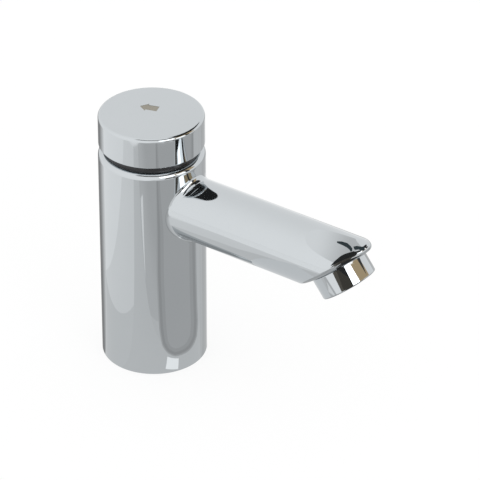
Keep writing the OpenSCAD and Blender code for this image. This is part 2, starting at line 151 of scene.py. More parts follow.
@dataclass(frozen=True)
class Placement:
    """Axis that a turned form stands on, in millimetres of the shared frame."""

    origin: Vector = field(default_factory=lambda: Vector((0.0, 0.0, 0.0)))
    across: Vector = field(default_factory=lambda: Vector((1.0, 0.0, 0.0)))
    along: Vector = field(default_factory=lambda: Vector((0.0, 1.0, 0.0)))
    axis: Vector = field(default_factory=lambda: Vector((0.0, 0.0, 1.0)))

    def direction(self, angle: float) -> Vector:
        """Unit vector away from the axis at an angle."""
        return self.across * math.cos(angle) + self.along * math.sin(angle)

    def corner(self, at: ProfilePoint, angle: float) -> Corner:
        """Point and normal of a profile point turned to an angle."""
        out = self.direction(angle)
        return self.origin + out * at[0] + self.axis * at[1], out * at[2] + self.axis * at[3]


def new_object(
    name: str, points: Iterable[Sequence[float]], faces: Iterable[Sequence[int]]
) -> bpy.types.Object:
    """Makes an object at the origin, with its place in its mesh.

    Args:
        name: Name of the object and of its mesh.
        points: Points in metres.
        faces: Numbers of the points round each face.

    Returns:
        The object.
    """
    mesh = bpy.data.meshes.new(name)
    mesh.from_pydata([tuple(point) for point in points], [], [tuple(face) for face in faces])
    made = bpy.data.objects.new(name, mesh)
    bpy.context.scene.collection.objects.link(made)
    return made


class Skin:
    """A closed surface in the making, with exact normals at its face corners for clean reflections."""

    def __init__(self) -> None:
        """Starts with no points and no faces."""
        self.points: list[Vector] = []
        self.found: dict[tuple[int, int, int], int] = {}
        self.faces: list[list[int]] = []
        self.normals: list[Vector] = []

    def index(self, point: Vector) -> int:
        """Finds or adds a point, which is shared by all faces that meet there.

        Args:
            point: The point.

        Returns:
            Its number.
        """
        key = (round(point.x * POINT_KEY), round(point.y * POINT_KEY), round(point.z * POINT_KEY))
        if key not in self.found:
            self.found[key] = len(self.points)
            self.points.append(point.copy())
        return self.found[key]

    def face(self, corners: Sequence[Corner]) -> None:
        """Adds a face, turned to the side that its normals give.

        Args:
            corners: Points with their normals, in order round the face.
        """
        kept: list[tuple[int, Vector]] = []
        for point, normal in corners:
            number = self.index(point)
            if all(number != other for other, _ in kept):
                kept.append((number, normal))
        if len(kept) < 3:
            return
        area = Vector((0.0, 0.0, 0.0))
        for i, (number, _) in enumerate(kept):
            area += self.points[number].cross(self.points[kept[(i + 1) % len(kept)][0]])
        mean = sum((normal for _, normal in kept), Vector((0.0, 0.0, 0.0)))
        if area.dot(mean) < 0.0:
            kept.reverse()
        self.faces.append([number for number, _ in kept])
        self.normals.extend(normal.normalized() for _, normal in kept)

    def grid(self, rows: Sequence[Sequence[Corner]], closed: bool) -> None:
        """Adds the quads between neighbouring rows of corners.

        Args:
            rows: Rows with the same number of corners.
            closed: Whether each row runs back to its start.
        """
        for row, after in zip(rows, rows[1:]):
            count = len(row)
            for i in range(count if closed else count - 1):
                j = (i + 1) % count
                self.face((row[i], row[j], after[j], after[i]))

    def turn(
        self, strips: Iterable[Sequence[ProfilePoint]], place: Placement, segments: int = RING_SEGMENTS
    ) -> None:
        """Turns profile strips round an axis.

        Args:
            strips: Stretches of the profile. Edges between two of them stay crisp.
            place: The axis.
            segments: Number of steps round the axis.
        """
        angles = ring_angles(segments)
        for strip in strips:
            self.grid([[place.corner(at, a) for a in angles] for at in strip], closed=True)

    def flat(self, outline: Sequence[Vector], holes: Sequence[Sequence[Vector]], normal: Vector) -> None:
        """Fills a flat face that has holes.

        Args:
            outline: Points round the face.
            holes: Points round each hole.
            normal: Which way the face looks.
        """
        draft = bmesh.new()
        for loop in [outline, *holes]:
            made = [draft.verts.new(point) for point in loop]
            for a, b in zip(made, [*made[1:], made[0]]):
                draft.edges.new((a, b))
        edges = draft.edges[:]
        bmesh.ops.triangle_fill(draft, use_beauty=True, use_dissolve=False, edges=edges, normal=normal)
        for filled in draft.faces:
            self.face([(vert.co.copy(), normal) for vert in filled.verts])
        draft.free()

    def piece(self, name: str, material: bpy.types.Material) -> bpy.types.Object:
        """Makes the finished object.

        Args:
            name: Name of the piece.
            material: Its finish.

        Returns:
            An object at the origin with its place in its mesh, in metres.
        """
        made = new_object(name, (point * MM for point in self.points), self.faces)
        made.data.shade_smooth()
        made.data.normals_split_custom_set([tuple(normal) for normal in self.normals])
        made.data.materials.append(material)
        return made


class NodeSheet:
    """Short way to lay out nodes in a tree."""

    def __init__(self, tree: bpy.types.NodeTree) -> None:
        """Keeps the tree."""
        self.tree = tree

    def add(self, kind: str, **values: object) -> bpy.types.Node:
        """Adds a node.

        Args:
            kind: Blender's name of the node type.
            values: Properties of the node, or values of its inputs by name with underscores for spaces.

        Returns:
            The node.
        """
        node = self.tree.nodes.new(kind)
        for name, value in values.items():
            if hasattr(node, name) and name not in node.inputs:
                setattr(node, name, value)
            else:
                node.inputs[name.replace("_", " ")].default_value = value
        return node

    def join(self, start: bpy.types.Node, given: str, end: bpy.types.Node, taken: str | int) -> None:
        """Links an output of one node to an input of another."""
        self.tree.links.new(start.outputs[given], end.inputs[taken])


def bare_material(name: str) -> tuple[bpy.types.Material, NodeSheet]:
    """Starts a material with no nodes.

    Args:
        name: Name of the material.

    Returns:
        The material and its sheet of nodes.
    """
    material = bpy.data.materials.new(name)
    material.use_nodes = True
    material.node_tree.nodes.clear()
    return material, NodeSheet(material.node_tree)


class SharedEffects:
    """Shader groups that several finishes use."""

    HAIRLINE_SCALE = 900.0
    HAIRLINE_SHARE = 0.25
    HAZE_REACH: Pair = (0.4, 0.95)
    TARNISH_SCALE = 160.0

    def __init__(self) -> None:
        """Builds each group once."""
        self.haze = self._haze()
        self.grain = self._grain()
        self.turning = self._turning()

    @staticmethod
    def _sheet(
        name: str, inputs: dict[str, float], outputs: Sequence[str]
    ) -> tuple[NodeSheet, bpy.types.Node, bpy.types.Node]:
        """Starts a group with named sockets.

        Args:
            name: Name of the group.
            inputs: Input names and their first values.
            outputs: Output names.

        Returns:
            The sheet, the group's input node and its output node.
        """
        tree = bpy.data.node_groups.new(name, "ShaderNodeTree")
        for label, value in inputs.items():
            socket = tree.interface.new_socket(label, in_out="INPUT", socket_type="NodeSocketFloat")
            socket.default_value = value
        for label in outputs:
            tree.interface.new_socket(label, in_out="OUTPUT", socket_type="NodeSocketFloat")
        sheet = NodeSheet(tree)
        return sheet, sheet.add("NodeGroupInput"), sheet.add("NodeGroupOutput")

    def _haze(self) -> bpy.types.NodeTree:
        """Wiped polish: broad faint smears and fine hairlines that vary the roughness.

        Returns:
            The group.
        """
        inputs = {"Scale": 30.0, "Least": 0.03, "Most": 0.07}
        sheet, given, out = self._sheet("polish_haze", inputs, ("Roughness", "Mask"))
        place = sheet.add("ShaderNodeTexCoord")
        broad = sheet.add("ShaderNodeTexNoise", Detail=3.0, Roughness=0.5)
        fine = sheet.add("ShaderNodeTexNoise", Scale=self.HAIRLINE_SCALE, Detail=2.0, Roughness=0.6)
        both = sheet.add("ShaderNodeMath", operation="MULTIPLY_ADD")
        both.inputs[1].default_value = self.HAIRLINE_SHARE
        low, high = self.HAZE_REACH
        reach = sheet.add("ShaderNodeMapRange", From_Min=low, From_Max=high)
        sheet.join(place, "Object", broad, "Vector")
        sheet.join(place, "Object", fine, "Vector")
        sheet.join(given, "Scale", broad, "Scale")
        sheet.join(fine, "Fac", both, 0)
        sheet.join(broad, "Fac", both, 2)
        sheet.join(both, "Value", reach, "Value")
        sheet.join(given, "Least", reach, "To Min")
        sheet.join(given, "Most", reach, "To Max")
        sheet.join(reach, "Result", out, "Roughness")
        sheet.join(both, "Value", out, "Mask")
        return sheet.tree

    def _grain(self) -> bpy.types.NodeTree:
        """Moulded skin: fine pits and a soft cloud, for polymers and rubber.

        Returns:
            The group.
        """
        inputs = {"Scale": 1500.0, "Cloud": 120.0}
        sheet, given, out = self._sheet("moulded_grain", inputs, ("Height", "Shade"))
        place = sheet.add("ShaderNodeTexCoord")
        pits = sheet.add("ShaderNodeTexVoronoi")
        cloud = sheet.add("ShaderNodeTexNoise", Detail=4.0, Roughness=0.55)
        sheet.join(place, "Object", pits, "Vector")
        sheet.join(place, "Object", cloud, "Vector")
        sheet.join(given, "Scale", pits, "Scale")
        sheet.join(given, "Cloud", cloud, "Scale")
        sheet.join(pits, "Distance", out, "Height")
        sheet.join(cloud, "Fac", out, "Shade")
        return sheet.tree

    def _turning(self) -> bpy.types.NodeTree:
        """Tool marks of turned metal: fine rings round the pillar's axis, broken up by a little noise.

        Returns:
            The group.
        """
        inputs = {"Pitch": 900.0, "Waver": 2.0}
        sheet, given, out = self._sheet("turning_marks", inputs, ("Height", "Mask"))
        place = sheet.add("ShaderNodeTexCoord")
        rings = sheet.add("ShaderNodeTexWave", wave_type="BANDS", bands_direction="Z", Detail=2.0)
        cloud = sheet.add("ShaderNodeTexNoise", Scale=self.TARNISH_SCALE, Detail=4.0)
        sheet.join(place, "Object", rings, "Vector")
        sheet.join(place, "Object", cloud, "Vector")
        sheet.join(given, "Pitch", rings, "Scale")
        sheet.join(given, "Waver", rings, "Distortion")
        sheet.join(rings, "Fac", out, "Height")
        sheet.join(cloud, "Fac", out, "Mask")
        return sheet.tree


@dataclass(frozen=True)
class Finish:
    """A finish: two near colours that a mask mixes, and the shader's even values."""

    name: str
    low: Colour
    high: Colour
    metallic: float
    slot: Slot

    def _start(self) -> tuple[NodeSheet, bpy.types.Node, bpy.types.Node]:
        """Starts a material.

        Returns:
            The sheet, the shader node and the colour mixer that feeds it.
        """
        material = bpy.data.materials.new(self.name)
        material.use_nodes = True
        sheet = NodeSheet(material.node_tree)
        shader = material.node_tree.nodes["Principled BSDF"]
        shader.inputs["Metallic"].default_value = self.metallic
        mixer = sheet.add("ShaderNodeValToRGB")
        mixer.color_ramp.elements[0].color = (*self.low, 1.0)
        mixer.color_ramp.elements[1].color = (*self.high, 1.0)
        sheet.join(mixer, "Color", shader, "Base Color")
        return sheet, shader, mixer

    @staticmethod
    def _effect(sheet: NodeSheet, group: bpy.types.NodeTree, **values: float) -> bpy.types.Node:
        """Places a shared effect with its own values.

        Args:
            sheet: The material's nodes.
            group: The shared effect.
            values: Input values by name.

        Returns:
            The group node.
        """
        node = sheet.add("ShaderNodeGroup", node_tree=group)
        for label, value in values.items():
            node.inputs[label].default_value = value
        return node

    @staticmethod
    def _relief(
        sheet: NodeSheet, shader: bpy.types.Node, height: Output, strength: float, depth: float
    ) -> None:
        """Turns a height into the shader's normal.

        Args:
            sheet: The material's nodes.
            shader: The shader node.
            height: Node and output that give the height.
            strength: Strength of the relief.
            depth: Depth of the relief in metres.
        """
        bump = sheet.add("ShaderNodeBump", Strength=strength, Distance=depth)
        sheet.join(*height, bump, "Height")
        sheet.join(bump, "Normal", shader, "Normal")

    @staticmethod
    def _material(sheet: NodeSheet) -> bpy.types.Material:
        """The material that the sheet's nodes belong to."""
        return next(m for m in bpy.data.materials if m.node_tree == sheet.tree)


@dataclass(frozen=True)
class PlatedChrome(Finish):
    """Polished chrome plate with wiped haze and a trace of waviness under it."""

    least: float = 0.025
    most: float = 0.06
    haze_scale: float = 38.0
    wave_scale: float = 70.0
    relief: float = 0.02
    depth: float = 0.0004

    def build(self, shared: SharedEffects) -> bpy.types.Material:
        """Makes the material.

        Args:
            shared: The shared effects.

        Returns:
            The material.
        """
        sheet, shader, mixer = self._start()
        haze = self._effect(sheet, shared.haze, Scale=self.haze_scale, Least=self.least, Most=self.most)
        sheet.join(haze, "Mask", mixer, "Fac")
        sheet.join(haze, "Roughness", shader, "Roughness")
        place = sheet.add("ShaderNodeTexCoord")
        wave = sheet.add("ShaderNodeTexNoise", Scale=self.wave_scale, Detail=1.0)
        sheet.join(place, "Object", wave, "Vector")
        self._relief(sheet, shader, (wave, "Fac"), self.relief, self.depth)
        return self._material(sheet)


@dataclass(frozen=True)
class TurnedMetal(Finish):
    """Machined metal with tool marks and uneven tarnish."""

    pitch: float = 900.0
    least: float = 0.22
    most: float = 0.42
    waver: float = 1.5
    haze_scale: float = 90.0
    relief: float = 0.25
    depth: float = 0.00006

    def build(self, shared: SharedEffects) -> bpy.types.Material:
        """Makes the material.

        Args:
            shared: The shared effects.

        Returns:
            The material.
        """
        sheet, shader, mixer = self._start()
        marks = self._effect(sheet, shared.turning, Pitch=self.pitch, Waver=self.waver)
        haze = self._effect(sheet, shared.haze, Scale=self.haze_scale, Least=self.least, Most=self.most)
        sheet.join(marks, "Mask", mixer, "Fac")
        sheet.join(haze, "Roughness", shader, "Roughness")
        self._relief(sheet, shader, (marks, "Height"), self.relief, self.depth)
        return self._material(sheet)


@dataclass(frozen=True)
class Moulded(Finish):
    """Moulded polymer or rubber with a fine skin."""

    grain: float = 1500.0
    least: float = 0.35
    most: float = 0.55
    relief: float = 0.2
    depth: float = 0.00005
    cloud: float = 140.0
    haze_scale: float = 110.0

    def build(self, shared: SharedEffects) -> bpy.types.Material:
        """Makes the material.

        Args:
            shared: The shared effects.

        Returns:
            The material.
        """
        sheet, shader, mixer = self._start()
        skin = self._effect(sheet, shared.grain, Scale=self.grain, Cloud=self.cloud)
        haze = self._effect(sheet, shared.haze, Scale=self.haze_scale, Least=self.least, Most=self.most)
        sheet.join(skin, "Shade", mixer, "Fac")
        sheet.join(haze, "Roughness", shader, "Roughness")
        self._relief(sheet, shader, (skin, "Height"), self.relief, self.depth)
        return self._material(sheet)


class Finishes:
    """All finishes of the tap, made once."""

    def __init__(self, shared: SharedEffects) -> None:
        """Builds the materials.

        Args:
            shared: The shared effects.
        """
        steel = {"pitch": 1400.0, "least": 0.18, "most": 0.34}
        rubber = {"least": 0.5, "most": 0.75, "relief": 0.35}
        black = {"least": 0.18, "most": 0.32, "relief": 0.08}
        white = {"least": 0.3, "most": 0.5, "relief": 0.12}
        enamel = {"least": 0.25, "most": 0.4, "relief": 0.05}
        made = (
            PlatedChrome("chrome_plate", (0.553, 0.583, 0.602), (0.583, 0.613, 0.632), 1.0, Slot.CHROME),
            TurnedMetal("turned_brass", (0.60, 0.43, 0.19), (0.74, 0.56, 0.29), 1.0, Slot.BRASS),
            TurnedMetal(
                "stainless_steel", (0.50, 0.505, 0.515), (0.62, 0.625, 0.635), 1.0, Slot.STEEL, **steel
            ),
            Moulded("seal_rubber", (0.012, 0.012, 0.013), (0.03, 0.03, 0.032), 0.0, Slot.RUBBER, **rubber),
            Moulded("black_polymer", (0.006, 0.006, 0.007), (0.016, 0.016, 0.018), 0.0, Slot.BLACK, **black),
            Moulded("white_polymer", (0.66, 0.66, 0.64), (0.76, 0.76, 0.74), 0.0, Slot.WHITE, **white),
        )
        self.by_slot: dict[Slot, bpy.types.Material] = {finish.slot: finish.build(shared) for finish in made}
        arrow = Moulded("arrow_enamel", (0.21, 0.195, 0.155), (0.29, 0.27, 0.22), 0.0, Slot.BLACK, **enamel)
        self.arrow: bpy.types.Material = arrow.build(shared)

    def of(self, slot: Slot) -> bpy.types.Material:
        """The material of a slot."""
        return self.by_slot[slot]


@dataclass
class TapCasting:
    """Pillar and spout: one plated casting, with its bores and base."""

    pillar_r: float = 24.0
    pillar_h: float = 105.4
    rim: float = 2.8
    base_edge: float = 0.5
    spout_r: float = 14.25
    spout_z: float = 82.6
    reach: float = 102.0
    outlet_angle: float = 51.5
    nose: float = 2.0
    nose_swell: float = 1.0
    swell_starts: Pair = (10.0, 40.0)
    swell_ends: Pair = (46.0, 84.0)
    fillet: float = 3.0
    outlet_drop: float = 1.4
    pocket_r: float = 12.0
    pocket_h: float = 6.0
    mouth_r: float = 6.0
    mouth_h: float = 4.5
    head_r: float = 17.0
    head_floor: float = 94.9
    cartridge_r: float = 15.0
    shoulder: float = 40.0
    chamber_r: float = 10.0
    chamber_floor: float = 22.0
    channel_r: float = 6.0
    recess_r: float = 8.5
    recess_top: float = 14.2
    inlet_r: float = 9.3
    inlet_depth: float = 12.0
    inlet_pitch: float = 1.814
    inlet_root: float = 10.2
    groove_in: float = 18.0
    groove_out: float = 21.5
    groove_h: float = 2.0
    stud_y: float = 13.6
    stud_r: float = 2.5
    stud_root: float = 2.95
    stud_depth: float = 12.0
    stud_pitch: float = 1.0
    mouth_break: float = 0.3
    loops: int = 240
    quarter: float = 60.0
    side_bands: int = 28
    fillet_steps: int = 14
    bar_steps: int = 40
    nose_steps: int = 12
    stud_segments: int = 48
    stud_runout: float = 2.0
    probe: float = 1.0e-4

    def stream(self) -> Vector:
        """Unit vector out along the stream."""
        a = math.radians(self.outlet_angle)
        return Vector((math.cos(a), 0.0, -math.sin(a)))

    def outlet(self) -> Placement:
        """Axis of the outlet.

        Returns:
            The axis, from the middle of the oblique face out along the stream.
        """
        a = math.radians(self.outlet_angle)
        sine, cosine = math.sin(a), math.cos(a)
        origin = Vector((self.reach - self.outlet_drop * sine, 0.0, self.spout_z - self.outlet_drop * cosine))
        return Placement(origin, Vector((sine, 0.0, cosine)), Vector((0.0, -1.0, 0.0)), self.stream())

    @staticmethod
    def around(t: float) -> Vector:
        """Direction away from the spout's axis, from the top towards the near side."""
        return Vector((0.0, -math.sin(t), math.cos(t)))

    def fillet_centre(self, t: float) -> Vector:
        """Centre of the ball that rolls along spout and pillar.

        Args:
            t: Angle round the spout.

        Returns:
            The centre.
        """
        reach = self.spout_r + self.fillet
        y = -reach * math.sin(t)
        x = math.sqrt((self.pillar_r + self.fillet) ** 2 - y * y)
        return Vector((x, y, self.spout_z + reach * math.cos(t)))

    def nose_radius(self, t: float) -> float:
        """Radius of the oblique face's edge, fuller on the two shoulders of the nose.

        Args:
            t: Angle round the spout.

        Returns:
            The radius.
        """
        turn = abs(math.degrees(math.remainder(t, 2.0 * math.pi)))
        swell = ramp(turn, *self.swell_starts) * (1.0 - ramp(turn, *self.swell_ends))
        return self.nose + self.nose_swell * swell

    def nose_centre(self, t: float) -> Vector:
        """Centre of the ball that rounds the oblique face's edge.

        Args:
            t: Angle round the spout.

        Returns:
            The centre.
        """
        a = math.radians(self.outlet_angle)
        ball = self.nose_radius(t)
        q = self.spout_r - ball
        x = self.reach + (q * math.cos(t) * math.sin(a) - ball) / math.cos(a)
        return Vector((x, -q * math.sin(t), self.spout_z + q * math.cos(t)))

    def nose_point(self, t: float, share: float) -> Vector:
        """Point on the rounded edge, from the spout's skin at share 0 to the oblique face at share 1."""
        return self.nose_centre(t) + slerp(self.around(t), self.stream(), share) * self.nose_radius(t)

    def nose_corner(self, t: float, share: float) -> Corner:
        """Point and normal on the rounded edge.

        Args:
            t: Angle round the spout.
            share: How far from the spout's skin to the oblique face.

        Returns:
            The point and its normal.
        """
        step = self.probe
        ahead = self.nose_point(t + step, share) - self.nose_point(t - step, share)
        over = self.nose_point(t, share + step) - self.nose_point(t, share - step)
        normal = over.cross(ahead).normalized()
        way = slerp(self.around(t), self.stream(), share)
        return self.nose_point(t, share), normal if normal.dot(way) > 0.0 else -normal

    def pillar_corner(self, angle: float, z: float) -> Corner:
        """Point and normal on the pillar's side."""
        out = Vector((math.cos(angle), math.sin(angle), 0.0))
        return out * self.pillar_r + Vector((0.0, 0.0, z)), out

    def panel_edge(self, degrees: float) -> Pair:
        """Angle and height on the edge of the pillar's front panel that faces a place round the spout.

        Args:
            degrees: Angle round the spout, from -180 to 180.

        Returns:
            Angle round the pillar, in radians, and height.
        """
        low, high, quarter = self.base_edge, self.pillar_h - self.rim, self.quarter
        side = -1.0 if degrees >= 0.0 else 1.0
        turn = abs(degrees)
        if turn <= quarter:
            return side * math.pi / 2.0 * turn / quarter, high
        if turn <= 2.0 * quarter:
            return side * math.pi / 2.0, high - (high - low) * (turn - quarter) / quarter
        return side * math.pi / 2.0 * (180.0 - turn) / quarter, low

    def add_side(self, skin: Skin) -> None:
        """Adds the pillar's side: a back panel, and a front panel that closes on the fillet.

        Args:
            skin: The surface that it joins.
        """
        low, high = self.base_edge, self.pillar_h - self.rim
        half = RING_SEGMENTS // 2
        steps = round(self.loops * self.quarter / 360.0)
        rows = []
        for k in range(steps + 1):
            z = high - (high - low) * k / steps
            rows.append([self.pillar_corner(math.pi / 2.0 + math.pi * i / half, z) for i in range(half + 1)])
        skin.grid(rows, closed=False)
        bands = self.side_bands
        front: list[list[Corner]] = [[] for _ in range(bands + 1)]
        for i in range(self.loops):
            degrees = 360.0 * i / self.loops
            degrees = degrees if degrees <= 180.0 else degrees - 360.0
            centre = self.fillet_centre(math.radians(degrees))
            start = (math.atan2(centre.y, centre.x), centre.z)
            end = self.panel_edge(degrees)
            for k in range(bands + 1):
                s = k / bands
                angle = start[0] + (end[0] - start[0]) * s
                front[k].append(self.pillar_corner(angle, start[1] + (end[1] - start[1]) * s))
        skin.grid(front, closed=True)

    def add_spout(self, skin: Skin) -> None:
        """Adds the fillet, the spout, its rounded nose and the oblique face.

        Args:
            skin: The surface that it joins.
        """
        outlet, out = self.outlet(), self.stream()
        fillet_steps, bar_steps, nose_steps = self.fillet_steps, self.bar_steps, self.nose_steps
        rows: list[list[Corner]] = [[] for _ in range(fillet_steps + 1)]
        bar: list[list[Corner]] = [[] for _ in range(bar_steps + 1)]
        tip: list[list[Corner]] = [[] for _ in range(nose_steps + 1)]
        oblique: list[list[Corner]] = [[], []]
        for i in range(self.loops):
            t = 2.0 * math.pi * i / self.loops
            e = self.around(t)
            centre = self.fillet_centre(t)
            to_pillar = -Vector((centre.x, centre.y, 0.0)) / (self.pillar_r + self.fillet)
            for k in range(fillet_steps + 1):
                way = slerp(to_pillar, -e, k / fillet_steps)
                rows[k].append((centre + way * self.fillet, -way))
            ball = self.nose_centre(t)
            for k in range(bar_steps + 1):
                x = centre.x + (ball.x - centre.x) * k / bar_steps
                bar[k].append((Vector((x, 0.0, self.spout_z)) + e * self.spout_r, e))
            for k in range(nose_steps + 1):
                tip[k].append(self.nose_corner(t, k / nose_steps))
            oblique[0].append((ball + out * self.nose_radius(t), out))
            oblique[1].append((outlet.origin + outlet.direction(t) * self.pocket_r, out))
        for part in (rows, bar, tip, oblique):
            skin.grid(part, closed=True)
        floor, end = -self.pocket_h, -self.pocket_h - self.mouth_h
        pocket = (
            (self.pocket_r, 0.0),
            (self.pocket_r, floor),
            (self.mouth_r, floor),
            (self.mouth_r, end),
            (0.0, end),
        )
        skin.turn(path_strips(pocket), outlet, self.loops)

    def add_bores(self, skin: Skin) -> None:
        """Adds the rim and all that is turned from the pillar's top down to the inlet.

        Args:
            skin: The surface that it joins.
        """
        rim_r, top = self.pillar_r - self.rim, self.pillar_h
        bores = (
            (rim_r, top),
            (self.head_r, top),
            (self.head_r, self.head_floor),
            (self.cartridge_r, self.head_floor),
            (self.cartridge_r, self.shoulder),
            (self.chamber_r, self.shoulder),
            (self.chamber_r, self.chamber_floor),
            (self.channel_r, self.chamber_floor),
            (self.channel_r, self.recess_top),
            (self.recess_r, self.recess_top),
            (self.recess_r, self.inlet_depth),
            (self.inlet_root, self.inlet_depth),
            (self.inlet_root, 0.0),
        )
        rim = edge_strip((rim_r, top - self.rim), self.rim, 0.0, 90.0)
        skin.turn((rim, *path_strips(bores)), Placement())

    def add_base(self, skin: Skin) -> None:
        """Adds the underside with its gasket groove and the two stud holes.

        Args:
            skin: The surface that it joins.
        """
        foot, wide = self.pillar_r - self.base_edge, self.stud_root + self.mouth_break
        groove = (
            (foot, 0.0),
            (self.groove_out, 0.0),
            (self.groove_out, self.groove_h),
            (self.groove_in, self.groove_h),
            (self.groove_in, 0.0),
        )
        edge = edge_strip((foot, self.base_edge), self.base_edge, 0.0, -90.0, steps=5)
        skin.turn((edge, *path_strips(groove, flip=True)), Placement())
        stud = (
            (wide, 0.0),
            (self.stud_root, self.mouth_break),
            (self.stud_root, self.stud_depth),
            (0.0, self.stud_depth),
        )
        middle = Placement()
        holes = [[middle.direction(a) * self.inlet_root for a in ring_angles()]]
        for y in (-self.stud_y, self.stud_y):
            place = Placement(Vector((0.0, y, 0.0)))
            holes.append([place.origin + place.direction(a) * wide for a in ring_angles(self.stud_segments)])
            skin.turn(path_strips(stud, flip=True), place, self.stud_segments)
        rim = [middle.direction(a) * self.groove_in for a in ring_angles()]
        skin.flat(rim, holes, Vector((0.0, 0.0, -1.0)))

    def build(self, finishes: Finishes) -> list[bpy.types.Object]:
        """Makes the casting and its threads.

        Args:
            finishes: The finishes.

        Returns:
            The pieces made.
        """
        skin = Skin()
        self.add_side(skin)
        self.add_spout(skin)
        self.add_bores(skin)
        self.add_base(skin)
        casting = skin.piece("tap_casting", finishes.of(Slot.CHROME))
        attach(casting, Body.TAP.value)
        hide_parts("body_casting")
        made = [casting]
        coil = CoilTree("thread_ridge", sides=4)
        depth, stud = self.inlet_root - self.inlet_r, self.stud_root - self.stud_r
        rise, stud_rise = self.inlet_depth - 2.0 * depth, self.stud_depth - self.stud_runout
        sets = [("inlet_thread", (0.0, 0.0, depth), self.inlet_root, depth, self.inlet_pitch, rise)]
        for name, y in (("stud_thread_near", -self.stud_y), ("stud_thread_far", self.stud_y)):
            foot = (0.0, y, self.mouth_break + stud)
            sets.append((name, foot, self.stud_root, stud, self.stud_pitch, stud_rise))
        for name, foot, root, ridge, pitch, height in sets:
            thread = coil.piece(name, finishes.of(Slot.BRASS), foot, root, ridge, height / pitch, height)
            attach(thread, Body.TAP.value)
            made.append(thread)
        return made


class CoilTree:
    """Geometry Nodes tree that sweeps a section along a coil, for spring wire and thread ridges."""

    INPUTS = {
        "Radius": "NodeSocketFloat",
        "Section": "NodeSocketFloat",
        "Turns": "NodeSocketFloat",
        "Height": "NodeSocketFloat",
        "Foot": "NodeSocketVector",
        "Finish": "NodeSocketMaterial",
    }
    ROUND_FROM = 5

    def __init__(self, name: str, sides: int, steps: int = 48) -> None:
        """Builds the tree.

        Args:
            name: Name of the tree.
            sides: Corners of the swept section.
            steps: Points on each turn of the coil.
        """
        self.tree = bpy.data.node_groups.new(name, "GeometryNodeTree")
        face = self.tree.interface
        self.sockets: dict[str, str] = {}
        for label, kind in self.INPUTS.items():
            self.sockets[label] = face.new_socket(label, in_out="INPUT", socket_type=kind).identifier
        face.new_socket("Geometry", in_out="OUTPUT", socket_type="NodeSocketGeometry")
        sheet = NodeSheet(self.tree)
        given, out = sheet.add("NodeGroupInput"), sheet.add("NodeGroupOutput")
        coil = sheet.add("GeometryNodeCurveSpiral", Resolution=steps, Reverse=True)
        upright = sheet.add("GeometryNodeSetCurveNormal", mode="Z_UP")
        section = sheet.add("GeometryNodeCurvePrimitiveCircle", mode="RADIUS", Resolution=sides)
        swept = sheet.add("GeometryNodeCurveToMesh", Fill_Caps=True)
        smooth = sheet.add("GeometryNodeSetShadeSmooth", Shade_Smooth=sides >= self.ROUND_FROM)
        moved = sheet.add("GeometryNodeTransform")
        real = sheet.add("GeometryNodeRealizeInstances")
        dressed = sheet.add("GeometryNodeSetMaterial")
        sheet.join(given, "Radius", coil, "Start Radius")
        sheet.join(given, "Radius", coil, "End Radius")
        sheet.join(given, "Turns", coil, "Rotations")
        sheet.join(given, "Height", coil, "Height")
        sheet.join(coil, "Curve", upright, "Curve")
        sheet.join(given, "Section", section, "Radius")
        sheet.join(upright, "Curve", swept, "Curve")
        sheet.join(section, "Curve", swept, "Profile Curve")
        sheet.join(swept, "Mesh", smooth, "Geometry")
        sheet.join(smooth, "Geometry", moved, "Geometry")
        sheet.join(given, "Foot", moved, "Translation")
        sheet.join(moved, "Geometry", real, "Geometry")
        sheet.join(real, "Geometry", dressed, "Geometry")
        sheet.join(given, "Finish", dressed, "Material")
        sheet.join(dressed, "Geometry", out, "Geometry")

    def piece(
        self,
        name: str,
        material: bpy.types.Material,
        foot: Triple,
        radius: float,
        section: float,
        turns: float,
        height: float,
    ) -> bpy.types.Object:
        """Makes one coil as a plain mesh.

        Args:
            name: Name of the piece.
            material: Its finish.
            foot: Where the coil starts, in millimetres.
            radius: Radius of the coil's centre line.
            section: Radius of the swept section.
            turns: Number of turns.
            height: Rise of the centre line.

        Returns:
            The object.
        """
        host = bpy.data.objects.new(name + "_host", bpy.data.meshes.new(name + "_host"))
        bpy.context.scene.collection.objects.link(host)
        modifier = host.modifiers.new("coil", "NODES")
        modifier.node_group = self.tree
        values = {"Radius": radius * MM, "Section": section * MM, "Turns": turns, "Height": height * MM}
        for label, value in values.items():
            modifier[self.sockets[label]] = float(value)
        modifier[self.sockets["Foot"]] = [value * MM for value in foot]
        modifier[self.sockets["Finish"]] = material
        evaluated = host.evaluated_get(bpy.context.evaluated_depsgraph_get())
        mesh = bpy.data.meshes.new_from_object(evaluated)
        mesh.name = name
        bpy.data.objects.remove(host)
        made = bpy.data.objects.new(name, mesh)
        bpy.context.scene.collection.objects.link(made)
        return made


